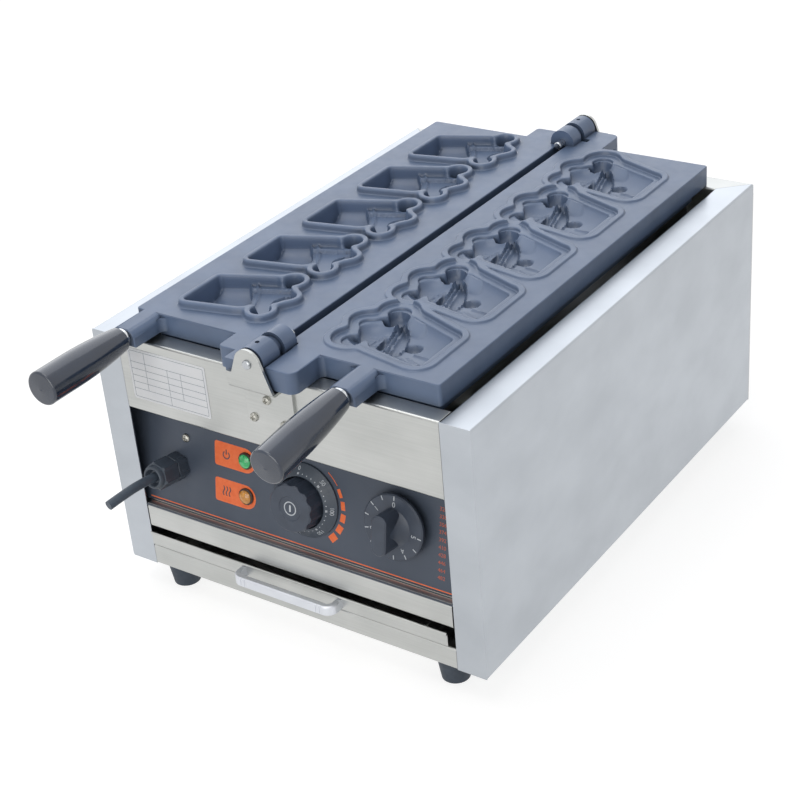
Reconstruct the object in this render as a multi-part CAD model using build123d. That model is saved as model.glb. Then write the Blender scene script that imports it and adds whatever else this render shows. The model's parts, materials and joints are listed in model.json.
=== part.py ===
from build123d import *
from math import cos, radians, sin, tan
import os

# Countertop waffle maker: a folded stainless casing on four feet, two cast
# mould plates that swing on a shared hinge line, a leaning control panel and a
# crumb drawer. Millimetres. X to the right, Y to the back, Z up. The shapes are
# drawn with the casing's middle over Y = 0 and the hinge line over X = 0; then
# all of them move along Y, so that the origin lies on the table under the
# middle of the whole outline, handles included.

# Casing
casing_width = 390.0
casing_depth = 516.0
casing_height = 240.0
foot_height = 25.0
sheet = 1.2
bend_radius = 1.4
cutter_length = 120.0
side_flange = 29.0
rear_flange = 26.0
deck_strip = 19.5
opening_lip = 8.0
bottom_flange = 20.0
seam_gap = 0.3

# How far in from the casing's sides things are set
gland_margin = 63.0
panel_screw_margin = 72.3
label_margin = 82.5
timer_margin = 87.0
vent_margin = 100.0
tray_margin = 57.0
drawer_left_margin = 30.5
drawer_right_margin = 36.0

# Front, from the casing's underside up
rail_height = 21.0
crossbar_bottom = 42.0
crossbar_top = 65.0
upper_panel_bottom = 168.0
front_return = 12.0

# Leaning control panel
panel_lean = 10.0
panel_setback = 8.0
panel_sheet = 1.5
panel_length = 112.0

# Hinge
hinge_rise = 2.0
pin_diameter = 8.0
pin_running_gap = 0.05
pin_fixed_gap = 0.02
knuckle_radius = 13.0
knuckle_gap = 0.6
inner_knuckle_start = 231.0
inner_knuckle_width = 16.0
tongue_slot = 7.0
tongue_side_gap = 0.3
tongue_radius = 9.5
outer_knuckle_width = 22.0
pin_tail = 10.0
pin_proud = 2.0
pin_edge = 0.8
set_screw_diameter = 4.0
set_screw_length = 7.0
set_screw_key = 1.2
set_screw_key_depth = 2.5
washer_thickness = 2.0
washer_gap = 0.25
washer_diameter = 15.0

# Mould plates
plate_width = 151.5
plate_length = 477.0
plate_depth = 19.5
plate_above_deck = 20.0
plate_parting = 9.0
plate_corner = 3.0
plate_edge = 1.0
lower_inset = 10.0
lower_end_inset = 12.5
lower_depth = 13.5
ear_width = 28.0
ear_reach_long = 37.5
ear_reach_short = 23.5
ear_corner = 8.0
ear_short_width = 32.5
ear_short_corner = 4.0
ear_root = 5.0

# Handles
boss_width = 24.0
boss_height = 16.0
boss_length = 36.5
boss_round = 7.0
boss_root = 6.0
left_boss_x = 140.0
right_boss_x = 88.0
right_grip_droop = 6.0
stud_diameter = 8.0
stud_in_boss = 28.0
stud_in_grip = 62.0
collar_diameter = 17.0
collar_length = 4.0
grip_length = 95.0
grip_neck_diameter = 22.0
grip_end_diameter = 30.5
grip_swell_at = 64.0
grip_end_round = 2.0
grip_crown = 0.8
stud_gap = 0.1

# Shaped cavities, in the figure's own frame: u runs away from the hinge
# line, v runs towards the back
cavity_count = 5
cavity_pitch = 89.3
cavity_u = 62.0
head_radius = 22.5
head_v = 4.0
upper_ear_radius = 10.0
upper_ear_u = 56.0
upper_ear_v = 34.0
lower_ear_radius = 9.0
lower_ear_u = 47.0
lower_ear_v = -23.0
tuft_radius = 7.0
tuft_u = 41.0
tuft_v = 8.0
base_u = 122.3
base_corner = 4.0
base_top_v = 15.0
base_bottom_v = -36.5
shoulder_u = 71.0
shoulder_radius = 9.0
shoulder_top_v = 33.0
shoulder_bottom_v = -27.0
cusp_round = 3.0
rim_width = 5.5
rim_height = 5.6
rim_chamfer = 1.3
recess_side_gap = 2.7
recess_floor_gap = 0.9
pad_width = 6.3
pad_height = 1.5
back_floor = 9.0
back_band_depth = 12.5
back_band_radius = 74.0
back_seat_depth = 16.0
back_seat_radius = 52.0
back_arc_u = 152.3
back_ridge_radius = 76.5
back_ridge_pitch = 4.0
back_ridge_width = 1.6
back_ridge_rise = 1.7
ear_hollow_radius = 5.5
ear_hollow_depth = 2.6
front_floor = 7.5
face_radius = 21.5
face_floor_radius = 15.0
face_depth = 12.5
muzzle_radius = 9.5
muzzle_floor_radius = 7.0
muzzle_depth = 17.5
muzzle_u = 73.0
eye_radius = 2.8
eye_depth = 15.0
eye_u = 59.0
eye_spacing = 20.0
belly_radius = 23.0
belly_floor_radius = 17.0
belly_depth = 12.5
belly_u = 105.0
belly_v = -9.0
arm_radius = 6.0
arm_length = 27.0
arm_angle = 38.0
arm_depth = 14.5
arm_u = 94.0
arm_spacing = 36.0
foot_radius = 8.0
foot_floor_radius = 6.0
foot_depth = 16.5
foot_u = 114.0
foot_spacing = 30.0
leaf_length = 38.0
leaf_width = 19.0
leaf_angle = -28.0
leaf_depth = 15.3
leaf_u = 93.0
leaf_v = -6.0
leaf_ribs = 7
leaf_rib_pitch = 4.6
leaf_rib_width = 1.5
leaf_rib_angle = 50.0
leaf_rib_depth = 1.5

# Heaters under the plates
heater_diameter = 8.0
heater_groove_gap = 0.2
heater_leg_spacing = 62.0
heater_leg_length = 360.0
heater_terminal_diameter = 4.0
heater_terminal_length = 14.0
cover_depth = 12.0
cover_inset = 3.0
cover_sheet = 1.2
mat_thickness = 6.0
mat_inset = 14.0
cover_screw_inset = 9.0
cover_screw_diameter = 4.0
cover_screw_bite = 8.0

# Hinge brackets
bracket_width = 50.0
bracket_sheet = 2.5
bracket_bend = 2.5
bracket_bottom = 190.0
bracket_shelf = 238.5
bracket_ear_width = 46.0
bracket_ear_shoulder = 15.0
bracket_round = 13.0
bracket_screw_spread = 32.0
bracket_screw_shift = -2.0
bracket_screw_low = 198.0
bracket_screw_high = 218.0
screw_diameter = 4.0
screw_head_diameter = 8.0
screw_head_height = 2.6
bracket_screw_length = 8.0

# Feet
foot_top_diameter = 31.0
foot_bottom_diameter = 25.0
foot_inset_x = 45.0
foot_inset_y = 20.0
foot_bore = 11.0
foot_spigot = 15.0
foot_shoulder = 4.0
foot_web = 5.0
foot_screw_diameter = 5.0
foot_screw_head = 9.0
foot_screw_head_height = 3.0
foot_screw_length = 14.0
foot_nut_height = 3.5

# Crumb drawer
drawer_front_height = 15.5
drawer_front_sheet = 1.5
drawer_gap = 0.5
tray_length = 430.0
tray_depth = 12.5
tray_sheet = 0.8
drawer_handle_span = 110.0
drawer_handle_shift = -3.0
drawer_handle_reach = 17.0
drawer_handle_width = 10.0
drawer_handle_thickness = 5.0
drawer_handle_corner = 10.0
drawer_handle_edge = 1.2
drawer_handle_bore = 9.0
drawer_handle_rib = 4.0
drawer_handle_groove = 1.0
drawer_screw_diameter = 3.0
drawer_screw_length = 10.0
drawer_screw_head = 6.4
drawer_screw_head_height = 1.8
runner_gap = 0.3
runner_ledge = 13.0
runner_foot = 12.0

# Controls, placed along the leaning panel from its lower edge
thermostat_x = 11.0
thermostat_up = 48.0
thermostat_ring_diameter = 68.0
thermostat_ring_edge = 2.0
thermostat_ring_rise = 8.5
thermostat_ring_land = 1.0
thermostat_knob_diameter = 46.0
thermostat_knob_height = 23.0
thermostat_knob_taper = 0.8
thermostat_knob_round = 1.6
thermostat_dish_diameter = 23.0
thermostat_dish_depth = 0.8
knob_lift = 1.0
ring_gap = 0.9
flute_count = 12
flute_radius = 10.0
flute_depth = 2.0
thermostat_body_size = 40.0
thermostat_body_depth = 28.0
timer_up = 53.5
timer_disc_diameter = 59.0
timer_disc_lift = 8.5
timer_disc_thickness = 3.5
timer_hub_diameter = 26.0
timer_flare_diameter = 34.0
timer_flare_height = 17.0
timer_flare_hollow = 3.0
timer_bar_length = 36.0
timer_bar_width = 14.7
timer_bar_height = 21.0
timer_bar_round = 7.0
timer_bar_edge = 1.2
timer_body_diameter = 54.0
timer_body_depth = 36.0
shaft_diameter = 6.0
shaft_in_knob = 13.0
shaft_in_bush = 4.5
bush_diameter = 10.0
bush_length = 6.0
bush_nut_flats = 14.0
bush_nut_height = 2.5
lamp_x = -54.5
green_lamp_up = 67.0
amber_lamp_up = 33.0
lamp_bezel_diameter = 15.5
lamp_bezel_height = 2.6
lamp_lens_diameter = 12.5
lamp_lens_height = 4.5
lamp_seat = 1.2
lamp_dome = 2.6
lamp_body_diameter = 10.0
lamp_body_depth = 26.0
panel_screw_up = 71.5
panel_screw_length = 6.0

# Cord gland and the cord's short length
gland_up = 42.5
gland_thread = 16.0
gland_hex_flats = 22.0
gland_hex_height = 9.0
gland_neck = 3.0
gland_nut_flats = 20.0
gland_nut_height = 11.0
gland_dome_height = 9.0
gland_dome_top = 12.0
gland_tail = 9.0
gland_locknut_height = 4.0
cord_diameter = 8.5
cord_gap = 0.15
cord_steps = [(0.0, 0.0, 0.0), (18.0, 0.0, 3.1739), (37.0, -1.2, 3.6), (56.0, -4.6, 0.8)]

# Inside
partition_setback = 83.0
partition_bottom = 44.0
partition_top = 205.0
partition_flange = 14.0
terminal_pitch = 12.0
terminal_ways = 6
terminal_depth = 18.0
terminal_height = 24.0
terminal_x = -60.0
terminal_up = 120.0
vent_width = 4.0
vent_length = 46.0
vent_pitch = 12.0
vent_count = 10
vent_height = 92.0
label_width = 87.0
label_height = 50.0
label_sheet = 0.4
label_bottom = 181.0

# Heights and places that follow from the sizes above
half_width = casing_width / 2
half_depth = casing_depth / 2
gland_x = gland_margin - half_width
panel_screw_x = panel_screw_margin - half_width
label_x = label_margin - half_width
timer_x = half_width - timer_margin
vent_group_x = half_width - vent_margin
tray_half_width = half_width - tray_margin
drawer_front_left = drawer_left_margin - half_width
drawer_front_right = half_width - drawer_right_margin
base = foot_height
deck = base + casing_height
plate_top = deck + plate_above_deck
axis_z = plate_top + hinge_rise
plate_inner = plate_parting / 2
plate_outer = plate_inner + plate_width
plate_half = plate_length / 2
plate_bottom = plate_top - plate_depth
lower_bottom = plate_bottom - lower_depth
cover_bottom = lower_bottom - cover_depth
tongue_near = inner_knuckle_start + inner_knuckle_width
outer_knuckle_start = tongue_near + tongue_slot
knuckle_end = outer_knuckle_start + outer_knuckle_width
ear_face = knuckle_end + washer_thickness + 2 * washer_gap
front_reach = plate_half + boss_length + collar_length + grip_length + grip_crown
rear_reach = ear_face + bracket_sheet + pin_proud
middle_y = (rear_reach - front_reach) / 2
pin_radius = pin_diameter / 2
notch_x = knuckle_radius + knuckle_gap
recess_depth = rim_height + recess_floor_gap - (2 * hinge_rise - pad_height)
clear_front = half_width - side_flange - seam_gap


def span(x0, x1, y0, y1, z0, z1):
    """A block between two corners, used as a cutter or a plain core."""
    return Pos((x0 + x1) / 2, (y0 + y1) / 2, (z0 + z1) / 2) * Box(abs(x1 - x0), abs(y1 - y0), abs(z1 - z0))


def folded(points, thickness, plane, length, radius=bend_radius):
    """A bent sheet: its centre line is traced and drawn out along the plane's normal."""
    line = FilletPolyline(*points, radius=radius)
    return extrude(plane * trace(line, thickness), length)


def along_x(x):
    """Section plane with Y across and Z up, drawn out towards +X from x."""
    return Plane(origin=(x, 0, 0), x_dir=(0, 1, 0), z_dir=(1, 0, 0))


def along_y(y):
    """Section plane with X across and Z up, drawn out towards the front from y."""
    return Plane(origin=(0, y, 0), x_dir=(1, 0, 0), z_dir=(0, -1, 0))


def bore(radius):
    """A cutter along Z, long enough to go through whatever it is used on."""
    return Cylinder(radius, cutter_length)


def mirrored_x(shape):
    return mirror(shape, about=Plane.YZ)


def mirrored_y(shape):
    return mirror(shape, about=Plane.XZ)


def pan_screw(diameter, length, head_diameter, head_height):
    """A pan head on z = 0, turned in two tapers, with its shank below and a cross slot."""
    wide = head_diameter / 2
    profile = [(0, 0), (wide, 0), (wide, head_height * 0.4), (wide * 0.84, head_height * 0.8),
               (wide * 0.5, head_height), (0, head_height)]
    head = revolve(Plane.XZ * make_face(Polyline(*profile, close=True)), Axis.Z)
    shank = Pos(0, 0, -length / 2) * Cylinder(diameter / 2, length)
    slot = Pos(0, 0, head_height) * Box(head_diameter * 0.55, head_diameter * 0.14, head_height * 0.7)
    return head + shank - slot - Rot(0, 0, 90) * slot


def facing(x, y, z, direction):
    """A place at a point whose own Z looks along the direction."""
    return Location(Plane(origin=(x, y, z), x_dir=(1, 0, 0), z_dir=direction))


# Casing shells
mitre_x = half_width - side_flange
mitre_y = half_depth - rear_flange


def mitre_cut(side_keeps):
    """The corner prism that leaves a 45 degree seam between two top flanges."""
    far = 30.0
    if side_keeps:
        near_edge = [(mitre_x - far, mitre_y + far), (mitre_x - far, mitre_y), (mitre_x, mitre_y)]
        corners = near_edge + [(half_width, half_depth), (half_width, half_depth + far)]
    else:
        near_edge = [(mitre_x, mitre_y - far), (mitre_x, mitre_y + seam_gap), (half_width - seam_gap, half_depth)]
        corners = near_edge + [(half_width + far, half_depth), (half_width + far, mitre_y - far)]
    prism = extrude(make_face(Polyline(*corners, close=True)), opening_lip + 2 * sheet)
    return Pos(0, 0, deck - opening_lip - sheet) * prism


def side_panel():
    """Right side: bottom flange, wall, top flange and its lip in one bent sheet, with a front flange."""
    wall_x = half_width - sheet / 2
    top_z = deck - sheet / 2
    lip_x = half_width - side_flange + sheet / 2
    points = [(half_width - bottom_flange, base + sheet / 2), (wall_x, base + sheet / 2), (wall_x, top_z),
              (lip_x, top_z), (lip_x, deck - opening_lip)]
    wall = folded(points, sheet, along_y(half_depth - sheet), casing_depth - sheet)
    front = span(half_width - side_flange, half_width - sheet / 2, -half_depth, -half_depth + sheet, base, deck)
    return wall + front - mitre_cut(True)


def rear_panel():
    """Back wall with its top flange mitred into the sides, and two groups of cooling slots."""
    wall_y = half_depth - sheet / 2
    top_z = deck - sheet / 2
    lip_y = half_depth - rear_flange + sheet / 2
    foot_y = half_depth - front_return
    points = [(foot_y, base + sheet / 2), (wall_y, base + sheet / 2), (wall_y, top_z), (lip_y, top_z),
              (lip_y, deck - opening_lip)]
    body = folded(points, sheet, along_x(-half_width), casing_width)
    corner = span(half_width - bottom_flange - seam_gap, half_width + 1, foot_y - 1, half_depth - sheet,
                  base - 1, base + 3 * sheet)
    for cutter in (corner, mitre_cut(False)):
        body = body - cutter - mirrored_x(cutter)
    slot = Rot(90, 0, 0) * extrude(SlotOverall(vent_length, vent_width, rotation=90), 6 * sheet, both=True)
    for group in (-vent_group_x, vent_group_x):
        for i in range(vent_count):
            x = group + (i - (vent_count - 1) / 2) * vent_pitch
            body -= Pos(x, half_depth, base + vent_height) * slot
    for x, z in bracket_screw_places():
        body -= facing(x, half_depth, z, (0, 1, 0)) * Cylinder(screw_diameter / 2, 8 * sheet)
    return body


def front_upper_panel():
    """Bright panel above the controls, with the deck strip in front of the moulds."""
    face_y = -half_depth + sheet / 2
    low_z = base + upper_panel_bottom + sheet / 2
    top_z = deck - sheet / 2
    lip_y = -half_depth + deck_strip - sheet / 2
    points = [(-half_depth + front_return, low_z), (face_y, low_z), (face_y, top_z), (lip_y, top_z),
              (lip_y, deck - opening_lip)]
    body = folded(points, sheet, along_x(-clear_front), 2 * clear_front)
    for x, z in bracket_screw_places():
        body -= facing(x, -half_depth, z, (0, -1, 0)) * Cylinder(screw_diameter / 2, 8 * sheet)
    return body


def bracket_screw_places():
    half = bracket_screw_spread / 2
    low = base + bracket_screw_low
    high = base + bracket_screw_high
    return [(bracket_screw_shift - half, low), (bracket_screw_shift + half, low), (bracket_screw_shift, high)]


# Leaning control panel and its local frame
lean = radians(panel_lean)
panel_normal = (0, -cos(lean), sin(lean))
panel_foot_y = -half_depth + panel_setback
panel_foot_z = base + crossbar_top + panel_sheet


def on_panel(x, up, out=0.0):
    """A place on the panel's front face; its own Z points out of the panel, its own Y up the lean."""
    y = panel_foot_y + up * sin(lean) - out * cos(lean)
    z = panel_foot_z + up * cos(lean) + out * sin(lean)
    return Location(Plane(origin=(x, y, z), x_dir=(1, 0, 0), z_dir=panel_normal))


def control_panel():
    """Dark panel that leans back, with a level ledge at its foot."""
    wide = half_width - 2 * sheet
    slope = Pos(0, panel_length / 2, -panel_sheet / 2) * Box(2 * wide, panel_length, panel_sheet)
    ledge_back = panel_foot_y + panel_sheet
    ledge = span(-clear_front, clear_front, -half_depth, ledge_back, panel_foot_z - panel_sheet, panel_foot_z)
    body = on_panel(0, 0) * slope + ledge
    holes = [(gland_x, gland_up, gland_thread), (thermostat_x, thermostat_up, bush_diameter),
             (timer_x, timer_up, bush_diameter), (lamp_x, green_lamp_up, lamp_body_diameter),
             (lamp_x, amber_lamp_up, lamp_body_diameter), (panel_screw_x, panel_screw_up, screw_diameter)]
    for x, up, diameter in holes:
        body -= on_panel(x, up) * Cylinder(diameter / 2, 6 * panel_sheet)
    return body


def front_channel(low, high, back_low, back_high, half_length):
    """A bent channel across the front, open to the back."""
    face_y = -half_depth + sheet / 2
    points = [(-half_depth + back_low, low + sheet / 2), (face_y, low + sheet / 2), (face_y, high - sheet / 2),
              (-half_depth + back_high, high - sheet / 2)]
    return folded(points, sheet, along_x(-half_length), 2 * half_length)


def base_plate():
    """Bottom plate on the side panels' flanges, with the feet's holes."""
    x = half_width - bend_radius - sheet
    low = base + sheet
    body = span(-x, x, -half_depth + 2 * sheet, half_depth - 2 * sheet, low, low + sheet)
    for fx, fy in foot_places():
        body -= Pos(fx, fy, low) * Cylinder(foot_screw_diameter / 2, 6 * sheet)
    return body


def foot_places():
    x = half_width - foot_inset_x
    y = half_depth - foot_inset_y
    return [(-x, -y), (x, -y), (-x, y), (x, y)]


def foot():
    """Tapered rubber foot, bored from below for its screw."""
    height = foot_height + sheet
    top = foot_top_diameter / 2
    low = foot_bottom_diameter / 2
    bore = foot_screw_diameter / 2
    outline = [(bore, height), (foot_spigot / 2, height), (foot_spigot / 2, foot_height), (top, foot_height),
               (top, foot_height - foot_shoulder), (low, 0), (foot_bore / 2, 0),
               (foot_bore / 2, height - foot_web), (bore, height - foot_web)]
    return revolve(Plane.XZ * make_face(Polyline(*outline, close=True)), Axis.Z)


def foot_screw():
    """Screw up through the foot's web and the bottom plate, with its nut."""
    head_z = foot_height + sheet - foot_web
    screw = pan_screw(foot_screw_diameter, foot_screw_length, foot_screw_head, foot_screw_head_height)
    nut = extrude(RegularPolygon(foot_screw_head / 2, 6), foot_nut_height) - bore(foot_screw_diameter / 2)
    return Pos(0, 0, head_z) * Rot(180, 0, 0) * screw + Pos(0, 0, base + 2 * sheet) * nut


def partition():
    """Upright sheet that keeps the heat and crumbs away from the wiring."""
    y = -half_depth + partition_setback
    x = half_width - sheet - seam_gap
    points = [(y + partition_flange, base + partition_bottom), (y, base + partition_bottom),
              (y, base + partition_top), (y + partition_flange, base + partition_top)]
    web = folded(points, sheet, along_x(-x), 2 * x)
    wing = span(x - sheet, x, y - partition_flange, y, base + partition_bottom + 4, base + partition_top - 4)
    return web + wing + mirrored_x(wing)


def terminal_block():
    """Moulded terminal strip on the partition's front, one well for each way."""
    length = terminal_pitch * terminal_ways
    body = Box(length, terminal_depth, terminal_height)
    body = chamfer(body.edges().filter_by(Axis.X), 2.0)
    for i in range(terminal_ways):
        x = (i - (terminal_ways - 1) / 2) * terminal_pitch
        body -= Pos(x, -terminal_depth / 2, 0) * Box(terminal_pitch * 0.7, 8, terminal_height * 0.5)
    y = -half_depth + partition_setback - sheet / 2 - terminal_depth / 2
    return Pos(terminal_x, y, base + terminal_up) * body


# Hinge brackets and pins
def front_bracket():
    """Bent bracket: a flange on the panel, a short shelf and a round-topped ear for the pin."""
    flange_y = -half_depth - bracket_sheet / 2
    ear_y = -ear_face - bracket_sheet / 2
    shelf_z = base + bracket_shelf - bracket_sheet / 2
    top_z = axis_z + bracket_round
    points = [(flange_y, base + bracket_bottom), (flange_y, shelf_z), (ear_y, shelf_z), (ear_y, top_z)]
    strip = folded(points, bracket_sheet, along_x(-bracket_width / 2), bracket_width, bracket_bend)
    low = base + bracket_shelf - bracket_sheet
    half = bracket_ear_width / 2
    foot_line = [(-bracket_width / 2, base), (bracket_width / 2, base), (bracket_width / 2, low), (half, low)]
    cheek = [(half, low + bracket_sheet), (-half, low + bracket_ear_shoulder), (-half, low),
             (-bracket_width / 2, low)]
    ear = make_hull((Pos(0, axis_z) * Circle(bracket_round) + Pos(0, low) * Rectangle(2 * half, 4)).edges())
    shoulder = Pos(-half / 2, low + bracket_ear_shoulder / 2) * Rectangle(half, bracket_ear_shoulder)
    outline = make_face(Polyline(*foot_line, *cheek, close=True)) + ear + shoulder
    body = strip & extrude(along_y(0) * outline, ear_face + 20)
    body -= facing(0, -ear_face, axis_z, (0, -1, 0)) * Cylinder(pin_radius + pin_running_gap, 20)
    for x, z in bracket_screw_places():
        body -= facing(x, -half_depth, z, (0, -1, 0)) * Cylinder(screw_diameter / 2, 8 * bracket_sheet)
    return body


def bracket_screws():
    screws = []
    for x, z in bracket_screw_places():
        screw = pan_screw(screw_diameter, bracket_screw_length, screw_head_diameter, screw_head_height)
        screws.append(facing(x, -half_depth - bracket_sheet, z, (0, -1, 0)) * screw)
    return screws + [mirrored_y(s) for s in screws]


def front_pin():
    """Hinge pin from the bracket's face to a short tail in the slot between the plates."""
    near = -ear_face - bracket_sheet - pin_proud
    far = -inner_knuckle_start + pin_tail
    pin = facing(0, (near + far) / 2, axis_z, (0, 1, 0)) * Cylinder(pin_radius, far - near)
    return chamfer(pin.edges().filter_by(GeomType.CIRCLE), pin_edge)


def front_washer():
    y = -knuckle_end - washer_gap - washer_thickness / 2
    ring = Cylinder(washer_diameter / 2, washer_thickness) - Cylinder(pin_radius + pin_running_gap, 10)
    return facing(0, y, axis_z, (0, 1, 0)) * ring


def front_set_screw():
    """Grub screw that fixes the pin in the fork's outer knuckle."""
    y = -(outer_knuckle_start + knuckle_end) / 2
    grub = Pos(0, 0, set_screw_length / 2) * Cylinder(set_screw_diameter / 2, set_screw_length)
    key = Pos(0, 0, set_screw_length) * extrude(RegularPolygon(set_screw_key, 6), -set_screw_key_depth)
    return Pos(0, y, axis_z + pin_radius) * (grub - key)


# Mould plates
def figure(grow):
    """Outline of the eared bust, grown evenly; growing it further and shrinking back rounds its inner corners."""
    spread = grow + cusp_round
    corners = [(base_u - base_corner, base_top_v - base_corner, base_corner),
               (base_u - base_corner, base_bottom_v + base_corner, base_corner),
               (shoulder_u, shoulder_top_v - shoulder_radius, shoulder_radius),
               (shoulder_u, shoulder_bottom_v + shoulder_radius, shoulder_radius)]
    rounds = Sketch() + [Pos(u, v) * Circle(r + spread) for u, v, r in corners]
    torso = make_hull(rounds.edges())
    lobes = [(cavity_u, head_v, head_radius), (upper_ear_u, upper_ear_v, upper_ear_radius),
             (lower_ear_u, lower_ear_v, lower_ear_radius), (tuft_u, tuft_v, tuft_radius)]
    shape = Sketch() + torso
    for u, v, r in lobes:
        shape += Pos(u, v) * Circle(r + spread)
    return offset(shape, amount=-cusp_round)


def cavity_places():
    return [(i - (cavity_count - 1) / 2) * cavity_pitch for i in range(cavity_count)]


def prism(outline, low, high):
    return Pos(0, 0, low) * extrude(outline, high - low)


def rim():
    """Raised bead round a cavity of the left plate."""
    ring = prism(figure(rim_width), plate_top - 1, plate_top + rim_height)
    ring = chamfer(ring.faces().sort_by(Axis.Z)[-1].edges(), rim_chamfer)
    return ring


def figure_ears():
    return [(upper_ear_u, upper_ear_v), (lower_ear_u, lower_ear_v)]


def bowl(u, v, wide, narrow, depth):
    """A round pocket below the plate's top, wide at the top and narrow at its floor."""
    return Pos(u, v, plate_top - depth / 2) * Cone(narrow, wide, depth)


def back_cavity():
    """Back of the figure: a deep seat, a hollow back, two collar lines across the neck and a flat head."""
    floor = plate_top - back_floor
    inner = figure(-1.2)
    centre = Pos(back_arc_u, head_v)
    cut = prism(figure(0), floor, plate_top + rim_height + 1)
    cut += prism(inner & centre * Circle(back_band_radius), plate_top - back_band_depth, floor + 1)
    cut += prism(inner & centre * Circle(back_seat_radius), plate_top - back_seat_depth, floor + 1)
    for i in range(2):
        radius = back_ridge_radius + i * back_ridge_pitch
        ridge = centre * (Circle(radius + back_ridge_width) - Circle(radius))
        cut -= prism(inner & ridge, floor - 1, floor + back_ridge_rise)
    for u, v in figure_ears():
        cut += Pos(u, v, floor) * Cylinder(ear_hollow_radius, 2 * ear_hollow_depth)
    return cut


def leaf():
    """Leaf outline from two arcs, and the grooves of its ribs, in its own frame."""
    half = leaf_length / 2
    wide = leaf_width / 2
    radius = (half ** 2 + wide ** 2) / (2 * wide)
    outline = Pos(0, radius - wide) * Circle(radius) & Pos(0, wide - radius) * Circle(radius)
    ribs = Sketch()
    for i in range(leaf_ribs):
        x = (i - (leaf_ribs - 1) / 2) * leaf_rib_pitch
        for side in (-1, 1):
            bar = Rot(0, 0, side * leaf_rib_angle) * Rectangle(leaf_width, leaf_rib_width)
            half_bar = bar & Pos(0, side * leaf_width / 2) * Rectangle(leaf_width, leaf_width)
            ribs += Pos(x, 0) * half_bar
    return outline, ribs & offset(outline, amount=-leaf_rib_width)


def front_pockets():
    """Pockets of the figure's front: face, muzzle, eyes, inner ears, belly, arms, feet and a ribbed leaf."""
    floor = plate_top - front_floor
    pockets = bowl(cavity_u, head_v, face_radius, face_floor_radius, face_depth)
    pockets += bowl(belly_u, belly_v, belly_radius, belly_floor_radius, belly_depth)
    pockets += bowl(muzzle_u, head_v, muzzle_radius, muzzle_floor_radius, muzzle_depth)
    for u, v in figure_ears():
        pockets += Pos(u, v, floor) * Cylinder(ear_hollow_radius, 2 * ear_hollow_depth)
    for side in (-1, 1):
        pockets += Pos(eye_u, head_v + side * eye_spacing / 2, plate_top) * Cylinder(eye_radius, 2 * eye_depth)
        arm = Rot(0, 0, side * arm_angle) * SlotOverall(arm_length, 2 * arm_radius)
        pockets += prism(Pos(arm_u, leaf_v + side * arm_spacing / 2) * arm, plate_top - arm_depth, plate_top)
        pockets += bowl(foot_u, belly_v + side * foot_spacing / 2, foot_radius, foot_floor_radius, foot_depth)
    outline, ribs = leaf()
    place = Pos(leaf_u, leaf_v) * Rot(0, 0, leaf_angle)
    pockets += prism(place * outline, plate_top - leaf_depth, plate_top)
    return pockets + prism(place * ribs, plate_top - leaf_depth - leaf_rib_depth, plate_top - leaf_depth + 1)


def front_cavity():
    """Front of the figure, inside a stepped recess that the other plate's rim enters."""
    floor = plate_top - front_floor
    top = plate_top + pad_height + 1
    ledge = plate_top + pad_height - recess_depth
    cut = prism(figure(rim_width + recess_side_gap), ledge, top)
    cut += prism(figure(0), floor, top)
    body = prism(figure(-1.0), plate_top - muzzle_depth - 1, floor)
    return cut + (body & front_pockets())


def plate_block():
    """Right casting before its cavities: top slab, lower block for the heater, edges broken."""
    slab = span(plate_inner, plate_outer, -plate_half, plate_half, plate_bottom, plate_top)
    slab = fillet(slab.edges().filter_by(Axis.Z), plate_corner)
    slab = fillet(slab.faces().sort_by(Axis.Z)[-1].edges(), plate_edge)
    low_x = plate_outer - lower_inset
    lower = span(plate_inner + lower_inset, low_x, -plate_half + lower_end_inset, plate_half - lower_end_inset,
                 lower_bottom, plate_bottom + 1)
    lower = fillet(lower.edges().filter_by(Axis.Z), plate_corner)
    return slab + lower


def ear(width, reach, corner):
    """Front ear that carries a plate's hinge side, with its outer corners and its top edges rounded."""
    block = span(notch_x, notch_x + width, -plate_half - reach, -plate_half + 30, plate_bottom, plate_top)
    block = fillet(block.edges().filter_by(Axis.Z).sort_by(Axis.Y)[:2].sort_by(Axis.X)[-1], corner)
    block = fillet(block.faces().sort_by(Axis.Z)[-1].edges(), plate_edge)
    return block + root(notch_x + width, 1, ear_root, plate_bottom, plate_top - plate_edge)


def root(x, side, radius, low, high):
    """The rounded inner corner where an ear or a boss leaves the plate's front face."""
    square = Pos(x + side * radius / 2, -plate_half - radius / 2) * Rectangle(radius, radius)
    return prism(square - Pos(x + side * radius, -plate_half - radius) * Circle(radius), low, high)


def fork():
    """Two knuckles and their webs, for a front hinge whose plate lies towards +X."""
    shape = None
    for near, width in ((inner_knuckle_start, inner_knuckle_width), (outer_knuckle_start, outer_knuckle_width)):
        y = -(near + width / 2)
        knuckle = facing(0, y, axis_z, (0, 1, 0)) * Cylinder(knuckle_radius, width)
        web = span(0, notch_x + 14, y - width / 2, y + width / 2, plate_bottom, plate_top)
        shape = knuckle + web if shape is None else shape + knuckle + web
    middle = -(inner_knuckle_start + knuckle_end) / 2
    length = knuckle_end - inner_knuckle_start + 80
    shape -= facing(0, middle, axis_z, (0, 1, 0)) * Cylinder(pin_radius + pin_fixed_gap, length)
    y = -(outer_knuckle_start + knuckle_end) / 2
    return shape - Pos(0, y, axis_z + knuckle_radius) * Cylinder(set_screw_diameter / 2, 2 * knuckle_radius)


def fork_room(clear=0.0):
    """Space that a fork's knuckles turn in, cut from the plate across the hinge."""
    half = (knuckle_end - inner_knuckle_start) / 2 + 1.2
    middle = -(inner_knuckle_start + knuckle_end) / 2
    y0 = middle - half - clear
    y1 = middle + half
    return span(-60, notch_x, y0, y1, plate_bottom - 40, plate_top + 30)


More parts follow.
